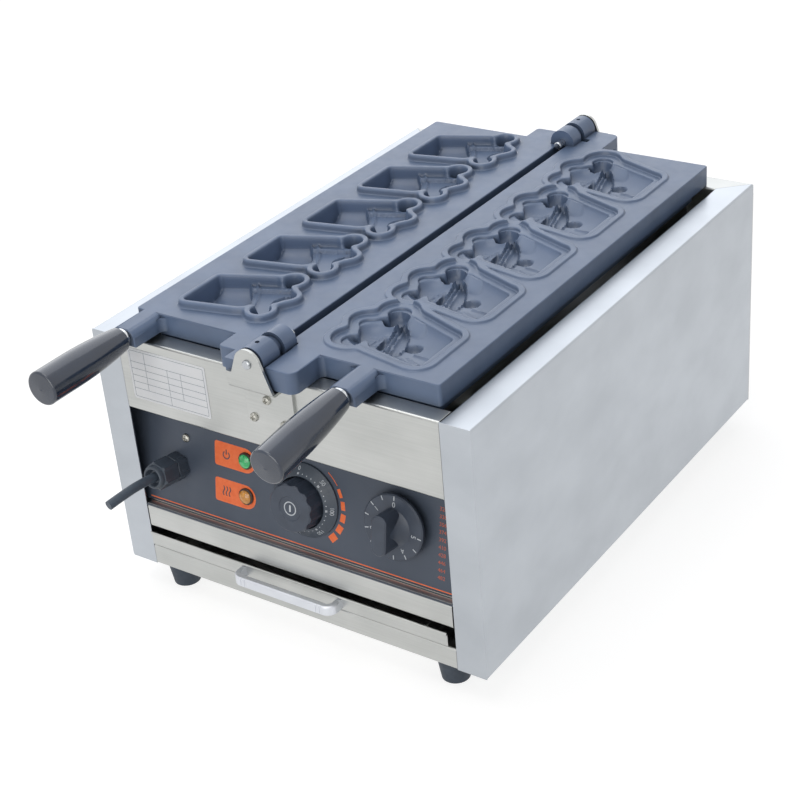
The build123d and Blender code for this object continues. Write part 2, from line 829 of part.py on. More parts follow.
def tongue():
    """Tongue of the plate towards +X, between the other plate's knuckles at the front."""
    width = tongue_slot - 2 * tongue_side_gap
    y = -(tongue_near + tongue_slot / 2)
    round_end = facing(0, y, axis_z, (0, 1, 0)) * Cylinder(tongue_radius, width)
    web = span(0, notch_x + 6, y - width / 2, y + width / 2, plate_bottom, plate_top - 3)
    body = round_end + web
    return body - facing(0, y, axis_z, (0, 1, 0)) * Cylinder(pin_radius + pin_running_gap, 4 * width)


def tongue_room():
    """Slot through a fork plate for the other plate's tongue."""
    y = -(tongue_near + tongue_slot / 2)
    return span(-60, notch_x + 6, y - tongue_slot / 2, y + tongue_slot / 2, plate_bottom - 40, plate_top + 30)


def boss(x, droop):
    """Handle boss that stands forward of the plate, round-shouldered, its end square to the grip."""
    low = plate_top - boss_height
    front = -plate_half - boss_length - 3
    block = span(x - boss_width / 2, x + boss_width / 2, front, -plate_half + 2, low, plate_top)
    block = fillet(block.edges().filter_by(Axis.Y).sort_by(Axis.Z)[-2:], boss_round)
    block -= grip_place(x, droop) * (Pos(0, 0, 10) * Box(4 * boss_width, 4 * boss_width, 20))
    block = chamfer(block.faces().sort_by(Axis.Y)[0].edges(), plate_edge)
    for side in (-1, 1):
        if x + side * (boss_width / 2 + boss_root) < plate_outer - plate_corner:
            block += root(x + side * boss_width / 2, side, boss_root, low, plate_top - boss_round / 2)
    return block


def grip_place(x, droop):
    """A place at the middle of a boss's end whose own Z runs out along the grip."""
    angle = radians(droop)
    z = plate_top - boss_height / 2
    return facing(x, -plate_half - boss_length, z, (0, -cos(angle), -sin(angle)))


def heater_tube(radius, extra=0.0):
    """Hairpin tube under a plate; with longer legs it cuts the groove that holds it."""
    x0 = (plate_inner + plate_outer - heater_leg_spacing) / 2
    x1 = x0 + heater_leg_spacing
    bend = heater_leg_spacing / 2
    y0 = -heater_leg_length / 2 - bend / 2 - extra
    y1 = heater_leg_length / 2 - bend / 2
    path = Polyline((x0, y0), (x0, y1)) + RadiusArc((x0, y1), (x1, y1), bend) + Polyline((x1, y1), (x1, y0))
    section = Plane(origin=(x0, y0, 0), z_dir=(0, 1, 0)) * Circle(radius)
    return Pos(0, 0, lower_bottom) * sweep(section, path=path)


def heater():
    """Sheathed element with its two terminal studs."""
    tube = heater_tube(heater_diameter / 2)
    x0 = (plate_inner + plate_outer - heater_leg_spacing) / 2
    y0 = -heater_leg_length / 2 - heater_leg_spacing / 4
    for x in (x0, x0 + heater_leg_spacing):
        stud = Cylinder(heater_terminal_diameter / 2, heater_terminal_length)
        tube += facing(x, y0 - heater_terminal_length / 2 + 1, lower_bottom, (0, 1, 0)) * stud
    return tube


def cover_corners():
    inset = lower_inset + cover_inset + cover_screw_inset
    end = plate_half - lower_end_inset - cover_inset - cover_screw_inset
    return [(x, y) for x in (plate_inner + inset, plate_outer - inset) for y in (-end, end)]


def heater_cover():
    """Steel pan that closes the heater in from below."""
    inset = lower_inset + cover_inset
    end = plate_half - lower_end_inset - cover_inset
    outer = span(plate_inner + inset, plate_outer - inset, -end, end, cover_bottom, lower_bottom)
    outer = fillet(outer.edges().filter_by(Axis.Z), 4.0)
    inner = span(plate_inner + inset + cover_sheet, plate_outer - inset - cover_sheet, -end + cover_sheet,
                 end - cover_sheet, cover_bottom + cover_sheet, lower_bottom + 1)
    body = outer - inner
    for x, y in cover_corners():
        body -= Pos(x, y, cover_bottom) * Cylinder(cover_screw_diameter / 2, 6 * cover_sheet)
    return body


def heater_mat():
    """Heat-proof fibre mat under the heater."""
    inset = lower_inset + cover_inset + mat_inset
    end = plate_half - lower_end_inset - cover_inset - mat_inset
    low = cover_bottom + cover_sheet
    return span(plate_inner + inset, plate_outer - inset, -end, end, low, low + mat_thickness)


def cover_screws():
    length = cover_depth + cover_screw_bite
    screw = Rot(180, 0, 0) * pan_screw(cover_screw_diameter, length, screw_head_diameter, screw_head_height)
    return [Pos(x, y, cover_bottom) * screw for x, y in cover_corners()]


def finish_plate(body, boss_x, droop):
    """Heater groove, cover screw holes and the handle's tapped bore."""
    body += boss(boss_x, droop)
    body -= heater_tube(heater_diameter / 2 + heater_groove_gap, heater_terminal_length + 2)
    for x, y in cover_corners():
        body -= Pos(x, y, lower_bottom) * Cylinder(cover_screw_diameter / 2, 2 * cover_screw_bite + 2)
    tapped = Pos(0, 0, -stud_in_boss / 2) * Cylinder(stud_diameter / 2 + pin_fixed_gap, stud_in_boss + 2)
    return body - grip_place(boss_x, droop) * tapped


def right_mould_plate():
    """Front-side mould: cavities in stepped recesses on raised pads; tongue in front, fork behind."""
    body = plate_block()
    long_ear = ear(ear_width, ear_reach_long, ear_corner)
    body += long_ear + mirrored_y(long_ear)
    body -= fork_room(40)
    body += tongue() + mirrored_y(fork())
    body -= mirrored_y(tongue_room())
    pad = Sketch()
    for y in cavity_places():
        pad += Pos(0, y) * figure(rim_width + recess_side_gap + pad_width)
    body += prism(pad, plate_top - 1, plate_top + pad_height)
    cut = front_cavity()
    for y in cavity_places():
        body -= Pos(0, y, 0) * cut
    return finish_plate(body, right_boss_x, right_grip_droop)


def left_mould_plate():
    """Back-side mould, made as for +X and mirrored: raised rims; fork in front, tongue behind."""
    body = plate_block()
    short_ear = ear(ear_short_width, ear_reach_short, ear_short_corner)
    body += short_ear + mirrored_y(short_ear)
    body -= mirrored_y(fork_room(40))
    body += fork() + mirrored_y(tongue())
    body -= tongue_room()
    bead = rim()
    cut = back_cavity()
    for y in cavity_places():
        body += Pos(0, y, 0) * bead
        body -= Pos(0, y, 0) * cut
    return mirrored_x(finish_plate(body, left_boss_x, 0.0))


def handle_stud():
    """Threaded rod with its bright collar, along its own Z from the boss's end."""
    length = stud_in_boss + collar_length + stud_in_grip
    rod = Pos(0, 0, length / 2 - stud_in_boss) * Cylinder(stud_diameter / 2, length)
    collar = Pos(0, 0, collar_length / 2) * Cylinder(collar_diameter / 2, collar_length)
    return chamfer(collar.edges().filter_by(GeomType.CIRCLE), 0.7) + rod


def grip():
    """Moulded grip that swells in one long curve towards its free end, with a blind bore for the stud."""
    z0 = collar_length
    z1 = z0 + grip_length
    neck = grip_neck_diameter / 2
    wide = grip_end_diameter / 2
    rise = grip_swell_at - 1
    swell_radius = ((wide - neck) ** 2 + rise ** 2) / (2 * (wide - neck))
    side = RadiusArc((neck, z0 + 1), (wide, z0 + grip_swell_at), -swell_radius)
    end_line = Polyline((wide, z0 + grip_swell_at), (wide, z1 - grip_end_round))
    corner = RadiusArc((wide, z1 - grip_end_round), (wide - grip_end_round, z1), -grip_end_round)
    inside = stud_diameter / 2 + stud_gap
    bore_end = z0 + stud_in_grip + 2
    rest = Polyline((wide - grip_end_round, z1), (0, z1 + grip_crown), (0, bore_end), (inside, bore_end),
                    (inside, z0), (neck - 1, z0), (neck, z0 + 1))
    outline = make_face(side + end_line + corner + rest)
    return revolve(Plane.XZ * outline, Axis.Z)


# Controls
def thermostat_body():
    """Capillary thermostat behind the panel, with its threaded bush and nut."""
    case = Pos(0, 0, -panel_sheet - thermostat_body_depth / 2)
    case = case * Box(thermostat_body_size, thermostat_body_size, thermostat_body_depth)
    case = fillet(case.edges().filter_by(Axis.Z), 4.0)
    return thermostat_place() * (case + bush() - bush_bore())


def bush():
    """Threaded bush with its nut on the panel's face, bored for a shaft."""
    collar = Pos(0, 0, (bush_length - panel_sheet) / 2 - 0.5)
    collar = collar * Cylinder(bush_diameter / 2, bush_length + panel_sheet + 1)
    nut = extrude(RegularPolygon(bush_nut_flats / 2, 6, major_radius=False), bush_nut_height)
    return collar + nut


def bush_bore():
    """Blind bore that a control's shaft turns in."""
    depth = shaft_in_bush + bush_length + 1
    return Pos(0, 0, bush_length + 1 - depth / 2) * Cylinder(shaft_diameter / 2 + pin_running_gap, depth)


def control_shaft(lift):
    """Spindle from inside the bush into its knob."""
    inside = shaft_in_bush - 0.3
    length = inside + lift + shaft_in_knob
    return Pos(0, 0, length / 2 - inside) * Cylinder(shaft_diameter / 2, length)


def thermostat_place():
    return on_panel(thermostat_x, thermostat_up)


def timer_place():
    return on_panel(timer_x, timer_up)


def thermostat_ring():
    """Conical ring that carries the numbers, fixed to the panel round the knob."""
    inner = thermostat_knob_diameter / 2 + ring_gap
    outer = thermostat_ring_diameter / 2
    profile = [(inner, 0), (outer, 0), (outer, thermostat_ring_edge),
               (inner + thermostat_ring_land, thermostat_ring_rise), (inner, thermostat_ring_rise)]
    return thermostat_place() * revolve(Plane.XZ * make_face(Polyline(*profile, close=True)), Axis.Z)


def thermostat_knob():
    """Knob with broad hollow flutes and a shallow dish in its face, turning inside the ring."""
    low = thermostat_knob_diameter / 2
    high = low - thermostat_knob_taper
    edge = high - thermostat_knob_round
    dish = thermostat_dish_diameter / 2
    z1 = knob_lift + thermostat_knob_height
    outline = [(0, knob_lift), (low, knob_lift), (high, z1 - thermostat_knob_round), (edge, z1), (dish, z1),
               (dish - thermostat_dish_depth, z1 - thermostat_dish_depth), (0, z1 - thermostat_dish_depth)]
    body = revolve(Plane.XZ * make_face(Polyline(*outline, close=True)), Axis.Z)
    flute = Pos(low + flute_radius - flute_depth, 0, 0) * bore(flute_radius)
    for i in range(flute_count):
        body -= Rot(0, 0, 360 * i / flute_count) * flute
    return thermostat_place() * (body - knob_hollow())


def knob_hollow():
    """Room under a knob for the bush and its nut, and the bore for the shaft."""
    room = Pos(0, 0, knob_lift) * Cylinder(bush_nut_flats * 0.7, 2 * (bush_length + 1))
    length = 2 * (shaft_in_knob + knob_lift - bush_length)
    return room + Pos(0, 0, bush_length) * Cylinder(shaft_diameter / 2 + pin_fixed_gap, length)


def timer_knob():
    """Numbered disc on a hub, with a raised bar that flares out into the disc at both sides."""
    disc_low = timer_disc_lift
    disc_high = disc_low + timer_disc_thickness
    disc = Pos(0, 0, (disc_low + disc_high) / 2) * Cylinder(timer_disc_diameter / 2, timer_disc_thickness)
    disc = chamfer(disc.edges().filter_by(GeomType.CIRCLE).sort_by(Axis.Z)[-1], 1.2)
    hub_low = knob_lift
    hub = Pos(0, 0, (hub_low + disc_high) / 2) * Cylinder(timer_hub_diameter / 2, disc_high - hub_low)
    bar = RectangleRounded(timer_bar_width, timer_bar_length, timer_bar_round)
    bar = prism(bar, disc_high - 0.5, disc_high + timer_bar_height)
    bar = chamfer(bar.faces().sort_by(Axis.Z)[-1].edges(), timer_bar_edge)
    wide = timer_flare_diameter / 2
    slim = timer_bar_width / 2
    flare_top = disc_high + timer_flare_height
    middle = ((wide + slim) / 2 - timer_flare_hollow, (disc_high + flare_top) / 2)
    side = ThreePointArc((wide, disc_high), middle, (slim, flare_top))
    rest = Polyline((slim, flare_top), (0, flare_top), (0, disc_high), (wide, disc_high))
    flare = revolve(Plane.XZ * make_face(side + rest), Axis.Z)
    return timer_place() * (disc + hub + bar + flare - knob_hollow())


def timer_body():
    """Clockwork can behind the panel, with its bush."""
    can = Pos(0, 0, -panel_sheet - timer_body_depth / 2) * Cylinder(timer_body_diameter / 2, timer_body_depth)
    return timer_place() * (can + bush() - bush_bore())


def lamp_body(up):
    """Neon lamp holder: a bezel on the panel and a body behind it."""
    bezel = Pos(0, 0, lamp_bezel_height / 2) * Cylinder(lamp_bezel_diameter / 2, lamp_bezel_height)
    bezel = chamfer(bezel.edges().filter_by(GeomType.CIRCLE).sort_by(Axis.Z)[-1], 0.8)
    stem = Pos(0, 0, -lamp_body_depth / 2 + 0.5) * Cylinder(lamp_body_diameter / 2, lamp_body_depth + 1)
    seat = Pos(0, 0, lamp_bezel_height) * Cylinder(lamp_lens_diameter / 2, 2 * lamp_seat)
    return on_panel(lamp_x, up) * (bezel + stem - seat)


def lamp_lens(up):
    """Coloured lens that stands out of its bezel with a domed front."""
    wide = lamp_lens_diameter / 2
    side = lamp_lens_height - lamp_dome
    dome_radius = (wide ** 2 + lamp_dome ** 2) / (2 * lamp_dome)
    arc = RadiusArc((wide, side), (0, lamp_lens_height), -dome_radius)
    outline = make_face(arc + Polyline((0, lamp_lens_height), (0, 0), (wide, 0), (wide, side)))
    lens = revolve(Plane.XZ * outline, Axis.Z)
    return on_panel(lamp_x, up) * Pos(0, 0, lamp_bezel_height - lamp_seat) * lens


def gland_place():
    return on_panel(gland_x, gland_up)


def cable_gland():
    """Gland body: hexagon on the panel, threaded neck in front and threaded tail behind."""
    hexagon = extrude(RegularPolygon(gland_hex_flats / 2, 6, major_radius=False), gland_hex_height)
    neck_end = gland_hex_height + gland_neck + gland_nut_height * 0.6
    neck = Pos(0, 0, neck_end / 2) * Cylinder(gland_thread / 2, neck_end)
    tail = Pos(0, 0, -gland_tail / 2) * Cylinder(gland_thread / 2, gland_tail)
    return gland_place() * (hexagon + neck + tail - bore(cord_diameter / 2 + cord_gap))


def gland_dome_nut():
    """Clamping nut with a rounded nose."""
    z0 = gland_hex_height + gland_neck
    hexagon = extrude(RegularPolygon(gland_nut_flats / 2, 6, major_radius=False), gland_nut_height)
    wide = gland_nut_flats / 2
    nose = [(0, gland_nut_height), (wide - 0.6, gland_nut_height), (wide - 1.0, gland_nut_height + 3),
            (gland_dome_top / 2 + 1.2, gland_nut_height + gland_dome_height - 1),
            (gland_dome_top / 2, gland_nut_height + gland_dome_height),
            (0, gland_nut_height + gland_dome_height)]
    dome_part = revolve(Plane.XZ * make_face(Polyline(*nose, close=True)), Axis.Z)
    thread = Cylinder(gland_thread / 2 + pin_running_gap, gland_nut_height * 0.62)
    thread = Pos(0, 0, gland_nut_height * 0.3) * thread
    nut = hexagon + dome_part - bore(cord_diameter / 2 + cord_gap) - thread
    return gland_place() * Pos(0, 0, z0) * nut


def gland_locknut():
    nut = extrude(RegularPolygon(gland_hex_flats / 2, 6, major_radius=False), gland_locknut_height)
    nut -= bore(gland_thread / 2)
    return gland_place() * Pos(0, 0, -panel_sheet - gland_locknut_height) * nut


def cord_points():
    """Route of the cord's short length: straight out of the gland's nose, then level and slightly down."""
    start = gland_place() * Pos(0, 0, gland_hex_height + gland_neck + gland_nut_height + gland_dome_height)
    x0, y0, z0 = start.position
    return [(x0 + side, y0 - out, z0 + rise) for out, side, rise in cord_steps]


def power_cord():
    """Cut stub of cord, and the length that it has inside the gland."""
    points = [Vector(*p) for p in cord_points()]
    radii = []
    for a, b, c in zip(points, points[1:], points[2:]):
        turn = radians((b - a).get_angle(c - b))
        radii.append(0.45 * min((b - a).length, (c - b).length) / tan(turn / 2))
    print("cord bend radii", [round(r, 1) for r in radii])
    path = FilletPolyline(*points, radius=radii)
    start = Plane(origin=points[0], z_dir=points[1] - points[0])
    tube = sweep(start * Circle(cord_diameter / 2), path=path)
    reach = gland_hex_height + gland_neck + gland_nut_height + gland_dome_height + gland_tail
    inside = Pos(0, 0, reach / 2 - gland_tail) * Cylinder(cord_diameter / 2, reach)
    return tube, gland_place() * inside


# Crumb drawer
drawer_low = base + rail_height + drawer_gap
tray_low = drawer_low + 1.5
tray_front = -half_depth


def drawer_front():
    face = span(drawer_front_left, drawer_front_right, tray_front - drawer_front_sheet, tray_front, drawer_low,
                drawer_low + drawer_front_height)
    for x in drawer_handle_ends():
        face -= facing(x, tray_front, drawer_middle(), (0, -1, 0)) * Cylinder(drawer_screw_diameter / 2, 10)
    return face


def drawer_middle():
    return drawer_low + drawer_front_height / 2


def drawer_handle_ends():
    foot_x = (drawer_handle_span - drawer_handle_thickness) / 2
    return (drawer_handle_shift - foot_x, drawer_handle_shift + foot_x)


def crumb_tray():
    """Shallow open pan behind the drawer's front."""
    outer = span(-tray_half_width, tray_half_width, tray_front, tray_front + tray_length, tray_low,
                 tray_low + tray_depth)
    outer = fillet(outer.edges().filter_by(Axis.Z), 3.0)
    inner = span(-tray_half_width + tray_sheet, tray_half_width - tray_sheet, tray_front + tray_sheet,
                 tray_front + tray_length - tray_sheet, tray_low + tray_sheet, tray_low + tray_depth + 1)
    body = outer - fillet(inner.edges().filter_by(Axis.Z), 2.2)
    for x in drawer_handle_ends():
        body -= facing(x, tray_front, drawer_middle(), (0, -1, 0)) * Cylinder(drawer_screw_diameter / 2, 10)
    return body


def drawer_handle():
    """Cast bow with round corners, its legs square on the drawer's front, and ribs across both ends."""
    y0 = tray_front - drawer_front_sheet
    inset = drawer_handle_thickness
    outer = RectangleRounded(drawer_handle_span, 2 * drawer_handle_reach, drawer_handle_corner)
    inner = RectangleRounded(drawer_handle_span - 2 * inset, 2 * (drawer_handle_reach - inset),
                             drawer_handle_corner - inset)
    front_half = Pos(0, -drawer_handle_reach) * Rectangle(2 * drawer_handle_span, 2 * drawer_handle_reach)
    body = extrude((outer - inner) & front_half, drawer_handle_width / 2, both=True)
    face = body.faces().sort_by(Axis.Y)[0]
    body = chamfer(face.edges().filter_by(Axis.X), drawer_handle_edge)
    for side in (-1, 1):
        for i in (1, 2):
            x = drawer_handle_span / 2 - drawer_handle_corner - (i - 0.5) * drawer_handle_rib
            body -= Pos(side * x, -drawer_handle_reach, 0) * bore(drawer_handle_groove)
    for x in drawer_handle_ends():
        screw_hole = Cylinder(drawer_screw_diameter / 2, 2 * drawer_handle_bore)
        body -= facing(x - drawer_handle_shift, 0, 0, (0, -1, 0)) * screw_hole
    return Pos(drawer_handle_shift, y0, drawer_middle()) * body


def drawer_screws():
    """Screws from inside the tray into the handle's feet."""
    screws = []
    for x in drawer_handle_ends():
        screw = pan_screw(drawer_screw_diameter, drawer_screw_length, drawer_screw_head, drawer_screw_head_height)
        screws.append(facing(x, tray_front + tray_sheet, drawer_middle(), (0, 1, 0)) * screw)
    return screws


def drawer_runner():
    """Right runner: a foot turned in on the bottom plate, a web and the ledge that the tray slides on."""
    web_x = tray_half_width + runner_gap + sheet
    low = base + 2 * sheet + sheet / 2
    high = tray_low - runner_gap - sheet / 2
    points = [(web_x - runner_foot, low), (web_x, low), (web_x, high), (web_x - runner_ledge, high)]
    return folded(points, sheet, along_y(-half_depth + 12 + tray_length - 20), tray_length - 20)


def rating_plate():
    """Plain white plate on the front, left bare."""
    y = -half_depth - label_sheet / 2
    body = Pos(label_x, y, base + label_bottom + label_height / 2) * Box(label_width, label_sheet, label_height)
    return fillet(body.edges().filter_by(Axis.Y), 2.0)


def panel_screws():
    screw = pan_screw(screw_diameter, panel_screw_length, screw_head_diameter, screw_head_height)
    return [on_panel(panel_screw_x, panel_screw_up) * screw]


def build():
    """Every node's solids, by name, about the casing's middle."""
    right_side = side_panel()
    right_runner = drawer_runner()
    front_hinge = front_bracket()
    washer = front_washer()
    pin = front_pin()
    grub = front_set_screw()
    cord, cord_inside = power_cord()
    heating = heater()
    cover = heater_cover()
    mat = heater_mat()
    screws = cover_screws()
    left_place = grip_place(-left_boss_x, 0.0)
    right_place = grip_place(right_boss_x, right_grip_droop)
    feet = [Pos(x, y, 0) * foot() for x, y in foot_places()]
    feet_screws = [Pos(x, y, 0) * foot_screw() for x, y in foot_places()]
    crossbar_end = clear_front - 1
    crossbar = front_channel(base + crossbar_bottom, base + crossbar_top, front_return, front_return, crossbar_end)
    rail = front_channel(base, base + rail_height, front_return, front_return, clear_front)
    return {
        "side_panel_left": [mirrored_x(right_side)],
        "side_panel_right": [right_side],
        "rear_panel": [rear_panel()],
        "front_upper_panel": [front_upper_panel()],
        "control_panel": [control_panel()],
        "front_crossbar": [crossbar],
        "bottom_rail": [rail],
        "base_plate": [base_plate()],
        "wiring_partition": [partition()],
        "drawer_runners": [right_runner, mirrored_x(right_runner)],
        "rubber_feet": feet,
        "foot_screws": feet_screws,
        "hinge_bracket_front": [front_hinge],
        "hinge_bracket_rear": [mirrored_y(front_hinge)],
        "bracket_screws": bracket_screws(),
        "hinge_washers": [washer, mirrored_y(washer)],
        "thermostat_body": [thermostat_body()],
        "thermostat_ring": [thermostat_ring()],
        "timer_body": [timer_body()],
        "lamp_holders": [lamp_body(green_lamp_up), lamp_body(amber_lamp_up)],
        "green_lamp_lens": [lamp_lens(green_lamp_up)],
        "amber_lamp_lens": [lamp_lens(amber_lamp_up)],
        "cable_gland": [cable_gland()],
        "gland_dome_nut": [gland_dome_nut()],
        "gland_locknut": [gland_locknut()],
        "power_cord": [cord],
        "power_cord_core": [cord_inside],
        "terminal_block": [terminal_block()],
        "control_panel_screw": panel_screws(),
        "rating_plate_blank": [rating_plate()],
        "left_mould_plate": [left_mould_plate()],
        "left_heater": [mirrored_x(heating)],
        "left_heater_mat": [mirrored_x(mat)],
        "left_heater_cover": [mirrored_x(cover)],
        "left_cover_screws": [mirrored_x(s) for s in screws],
        "left_handle_stud": [left_place * handle_stud()],
        "left_grip": [left_place * grip()],
        "left_hinge_pin": [pin],
        "left_set_screw": [grub],
        "right_mould_plate": [right_mould_plate()],
        "right_heater": [heating],
        "right_heater_mat": [mat],
        "right_heater_cover": [cover],
        "right_cover_screws": screws,
        "right_handle_stud": [right_place * handle_stud()],
        "right_grip": [right_place * grip()],
        "right_hinge_pin": [mirrored_y(pin)],
        "right_set_screw": [mirrored_y(grub)],
        "thermostat_knob": [thermostat_knob()],
        "thermostat_shaft": [thermostat_place() * control_shaft(knob_lift)],
        "timer_knob": [timer_knob()],
        "timer_shaft": [timer_place() * control_shaft(knob_lift)],
        "crumb_tray": [crumb_tray()],
        "drawer_front": [drawer_front()],
        "drawer_handle": [drawer_handle()],
        "drawer_screws": drawer_screws(),
    }


def write(nodes):
    os.makedirs("parts", exist_ok=True)
    for name, solids in nodes.items():
        pieces = [Pos(0, -middle_y, 0) * s for shape in solids for s in shape.solids()]
        shape = pieces[0] if len(pieces) == 1 else Compound(children=pieces)
        shape.label = name
        export_step(shape, f"parts/{name}.step")
        print(name, len(pieces))


write(build())
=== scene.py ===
# %% [markdown]
# # A shaped waffle maker
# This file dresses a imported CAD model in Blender. The CAD gives every rigid piece at its real
# size, and all that is added here lies in the same frame, in metres: X to the right, Y from the
# control panel to the back, Z up from the table. So a new piece is never fitted by eye. It takes
# its place from the box of the CAD piece that carries it.

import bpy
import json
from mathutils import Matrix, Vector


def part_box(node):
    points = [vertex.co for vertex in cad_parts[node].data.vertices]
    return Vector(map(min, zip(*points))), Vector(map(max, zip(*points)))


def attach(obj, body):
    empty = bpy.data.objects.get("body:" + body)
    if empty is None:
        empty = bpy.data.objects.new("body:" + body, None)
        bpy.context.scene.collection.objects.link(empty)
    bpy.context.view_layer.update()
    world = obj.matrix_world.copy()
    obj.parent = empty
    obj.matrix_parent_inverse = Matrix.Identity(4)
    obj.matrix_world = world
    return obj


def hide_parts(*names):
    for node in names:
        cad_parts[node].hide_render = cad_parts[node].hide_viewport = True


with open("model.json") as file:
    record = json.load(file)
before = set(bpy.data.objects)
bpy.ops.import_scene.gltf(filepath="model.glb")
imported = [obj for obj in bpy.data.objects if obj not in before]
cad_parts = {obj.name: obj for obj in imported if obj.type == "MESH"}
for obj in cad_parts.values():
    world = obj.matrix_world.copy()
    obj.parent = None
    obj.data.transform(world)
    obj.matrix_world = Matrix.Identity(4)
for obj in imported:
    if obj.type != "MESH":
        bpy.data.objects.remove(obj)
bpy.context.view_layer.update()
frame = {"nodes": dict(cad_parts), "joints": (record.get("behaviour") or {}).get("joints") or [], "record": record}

# %% [markdown]
# ## The camera
# A photograph of a box-like machine gives its own camera: seven corners of the casing were
# matched to the photograph, which leaves one place, one direction and one focal length. A
# physical camera is set from those numbers, with no shift, because the middle of the picture
# fits. The roll is the small tilt of the camera about its own line of sight.

# %% Set the camera
import math

import bpy
from mathutils import Matrix, Vector

MM = 0.001
CAMERA_PLACE = Vector((0.8252, -1.1474, 0.9386))
CAMERA_AZIMUTH = 36.562
CAMERA_ELEVATION = 29.640
CAMERA_ROLL = -5.185
CAMERA_LENS = 78.09


def turned_camera(azimuth, elevation, roll):
    """Camera axes: along +Y at azimuth 0, down by the elevation and rolled about the view."""
    a, e, r = (math.radians(x) for x in (azimuth, elevation, roll))
    forward = Vector((-math.sin(a) * math.cos(e), math.cos(a) * math.cos(e), -math.sin(e)))
    right = Vector((math.cos(a), math.sin(a), 0))
    down = forward.cross(right)
    right, down = math.cos(r) * right - math.sin(r) * down, math.sin(r) * right + math.cos(r) * down
    return Matrix((right, -down, -forward)).transposed()


scene = bpy.context.scene
camera = bpy.data.objects.new("camera", bpy.data.cameras.new("camera"))
scene.collection.objects.link(camera)
camera.matrix_world = Matrix.Translation(CAMERA_PLACE) @ turned_camera(
    CAMERA_AZIMUTH, CAMERA_ELEVATION, CAMERA_ROLL).to_4x4()
camera.data.lens = CAMERA_LENS
camera.data.clip_end = 50
scene.camera = camera
scene.view_settings.view_transform = "Standard"
print("camera at", [round(c, 3) for c in camera.location])

# %% [markdown]
# ## The leaning panel's own frame
# The gland, the lamps, the dials and most printed marks sit on a panel that leans back by ten
# degrees. Everything on it is easier to think of in the panel's own frame: across, up the lean
# and out of the panel. One matrix turns that frame into the machine's. Its origin is read from
# the CAD panel's box, so it follows the CAD if the panel moves.

# %% Make the panel's frame
PANEL_LEAN = 10.0
PANEL_SETBACK = 8.0
PANEL_SHEET = 1.5

panel_low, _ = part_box("control_panel")
panel_origin = Vector((0, panel_low.y + PANEL_SETBACK * MM, panel_low.z + PANEL_SHEET * MM))


def on_panel(across, up, out=0.0, turn=0.0):
    """Matrix of a place on the panel, its arguments in millimetres and its turn in degrees."""
    lean = math.radians(PANEL_LEAN)
    up_axis = Vector((0, math.sin(lean), math.cos(lean)))
    out_axis = Vector((0, -math.cos(lean), math.sin(lean)))
    axes = Matrix((Vector((1, 0, 0)), up_axis, out_axis)).transposed().to_4x4()
    here = panel_origin + MM * (across * Vector((1, 0, 0)) + up * up_axis + out * out_axis)
    return Matrix.Translation(here) @ axes @ Matrix.Rotation(math.radians(turn), 4, "Z")


print("panel origin", [round(c, 4) for c in panel_origin])

# %% [markdown]
# ## Colours and nodes
# Colours are written as the eye picks them, in sRGB hex, and one function turns them into the
# linear numbers that shaders work in. Another small function adds a node with its settings and
# its links, so that each finish below reads as a list of what it is made of. Patterns are sized in
# millimetres on Object coordinates, which here are the machine's own.

# %% Helpers for materials


def colour(code):
    """Linear RGBA of an sRGB hex colour such as '#808C9D'."""
    parts = [int(code[i:i + 2], 16) / 255 for i in (1, 3, 5)]
    linear = [c / 12.92 if c <= 0.04045 else ((c + 0.055) / 1.055) ** 2.4 for c in parts]
    return (*linear, 1.0)


def add(tree, kind, values=None, links=None, **settings):
    """Adds one node with its settings, its sockets' values and the links that feed it."""
    made = tree.nodes.new(kind)
    for name, value in settings.items():
        setattr(made, name, value)
    for socket, value in (values or {}).items():
        made.inputs[socket].default_value = value
    for socket, source in (links or {}).items():
        tree.links.new(source, made.inputs[socket])
    return made


def new_finish(name, values):
    """A material with its Principled shader; returns the material, its tree and the shader."""
    material = bpy.data.materials.new(name)
    material.use_nodes = True
    tree = material.node_tree
    shader = tree.nodes["Principled BSDF"]
    for socket, value in values.items():
        shader.inputs[socket].default_value = value
    return material, tree, shader


def grain(tree, size, stretch=(1, 1, 1), detail=2.0):
    """A noise pattern whose features are about size millimetres, longer where stretch is small."""
    place = add(tree, "ShaderNodeTexCoord")
    scaled = add(tree, "ShaderNodeMapping", {"Scale": stretch}, {"Vector": place.outputs["Object"]})
    noise = add(tree, "ShaderNodeTexNoise", {"Scale": 1 / (size * MM), "Detail": detail},
                {"Vector": scaled.outputs["Vector"]})
    return noise.outputs["Fac"]


NOISE_MIDDLE = {"From Min": 0.3, "From Max": 0.7}


def vary(tree, pattern, low, high):
    """The pattern's middle range stretched to run from low to high."""
    spread = add(tree, "ShaderNodeMapRange", {**NOISE_MIDDLE, "To Min": low, "To Max": high},
                 {"Value": pattern})
    return spread.outputs["Result"]


# A Mix node has a set of sockets for each kind of value, so they are told apart by number.
SHARE, NUMBER_A, NUMBER_B, COLOUR_A, COLOUR_B, COLOUR_OUT = 0, 2, 3, 6, 7, 2


def two_tone(tree, pattern, first, second):
    """Two hex colours mixed by a pattern from 0 to 1."""
    mixed = add(tree, "ShaderNodeMix", {COLOUR_A: colour(first), COLOUR_B: colour(second)},
                {SHARE: pattern}, data_type="RGBA")
    return mixed.outputs[COLOUR_OUT]


def feed(tree, shader, base, roughness=None):
    """Links a base colour, and a roughness where one is given, into the shader."""
    tree.links.new(base, shader.inputs["Base Color"])
    if roughness is not None:
        tree.links.new(roughness, shader.inputs["Roughness"])


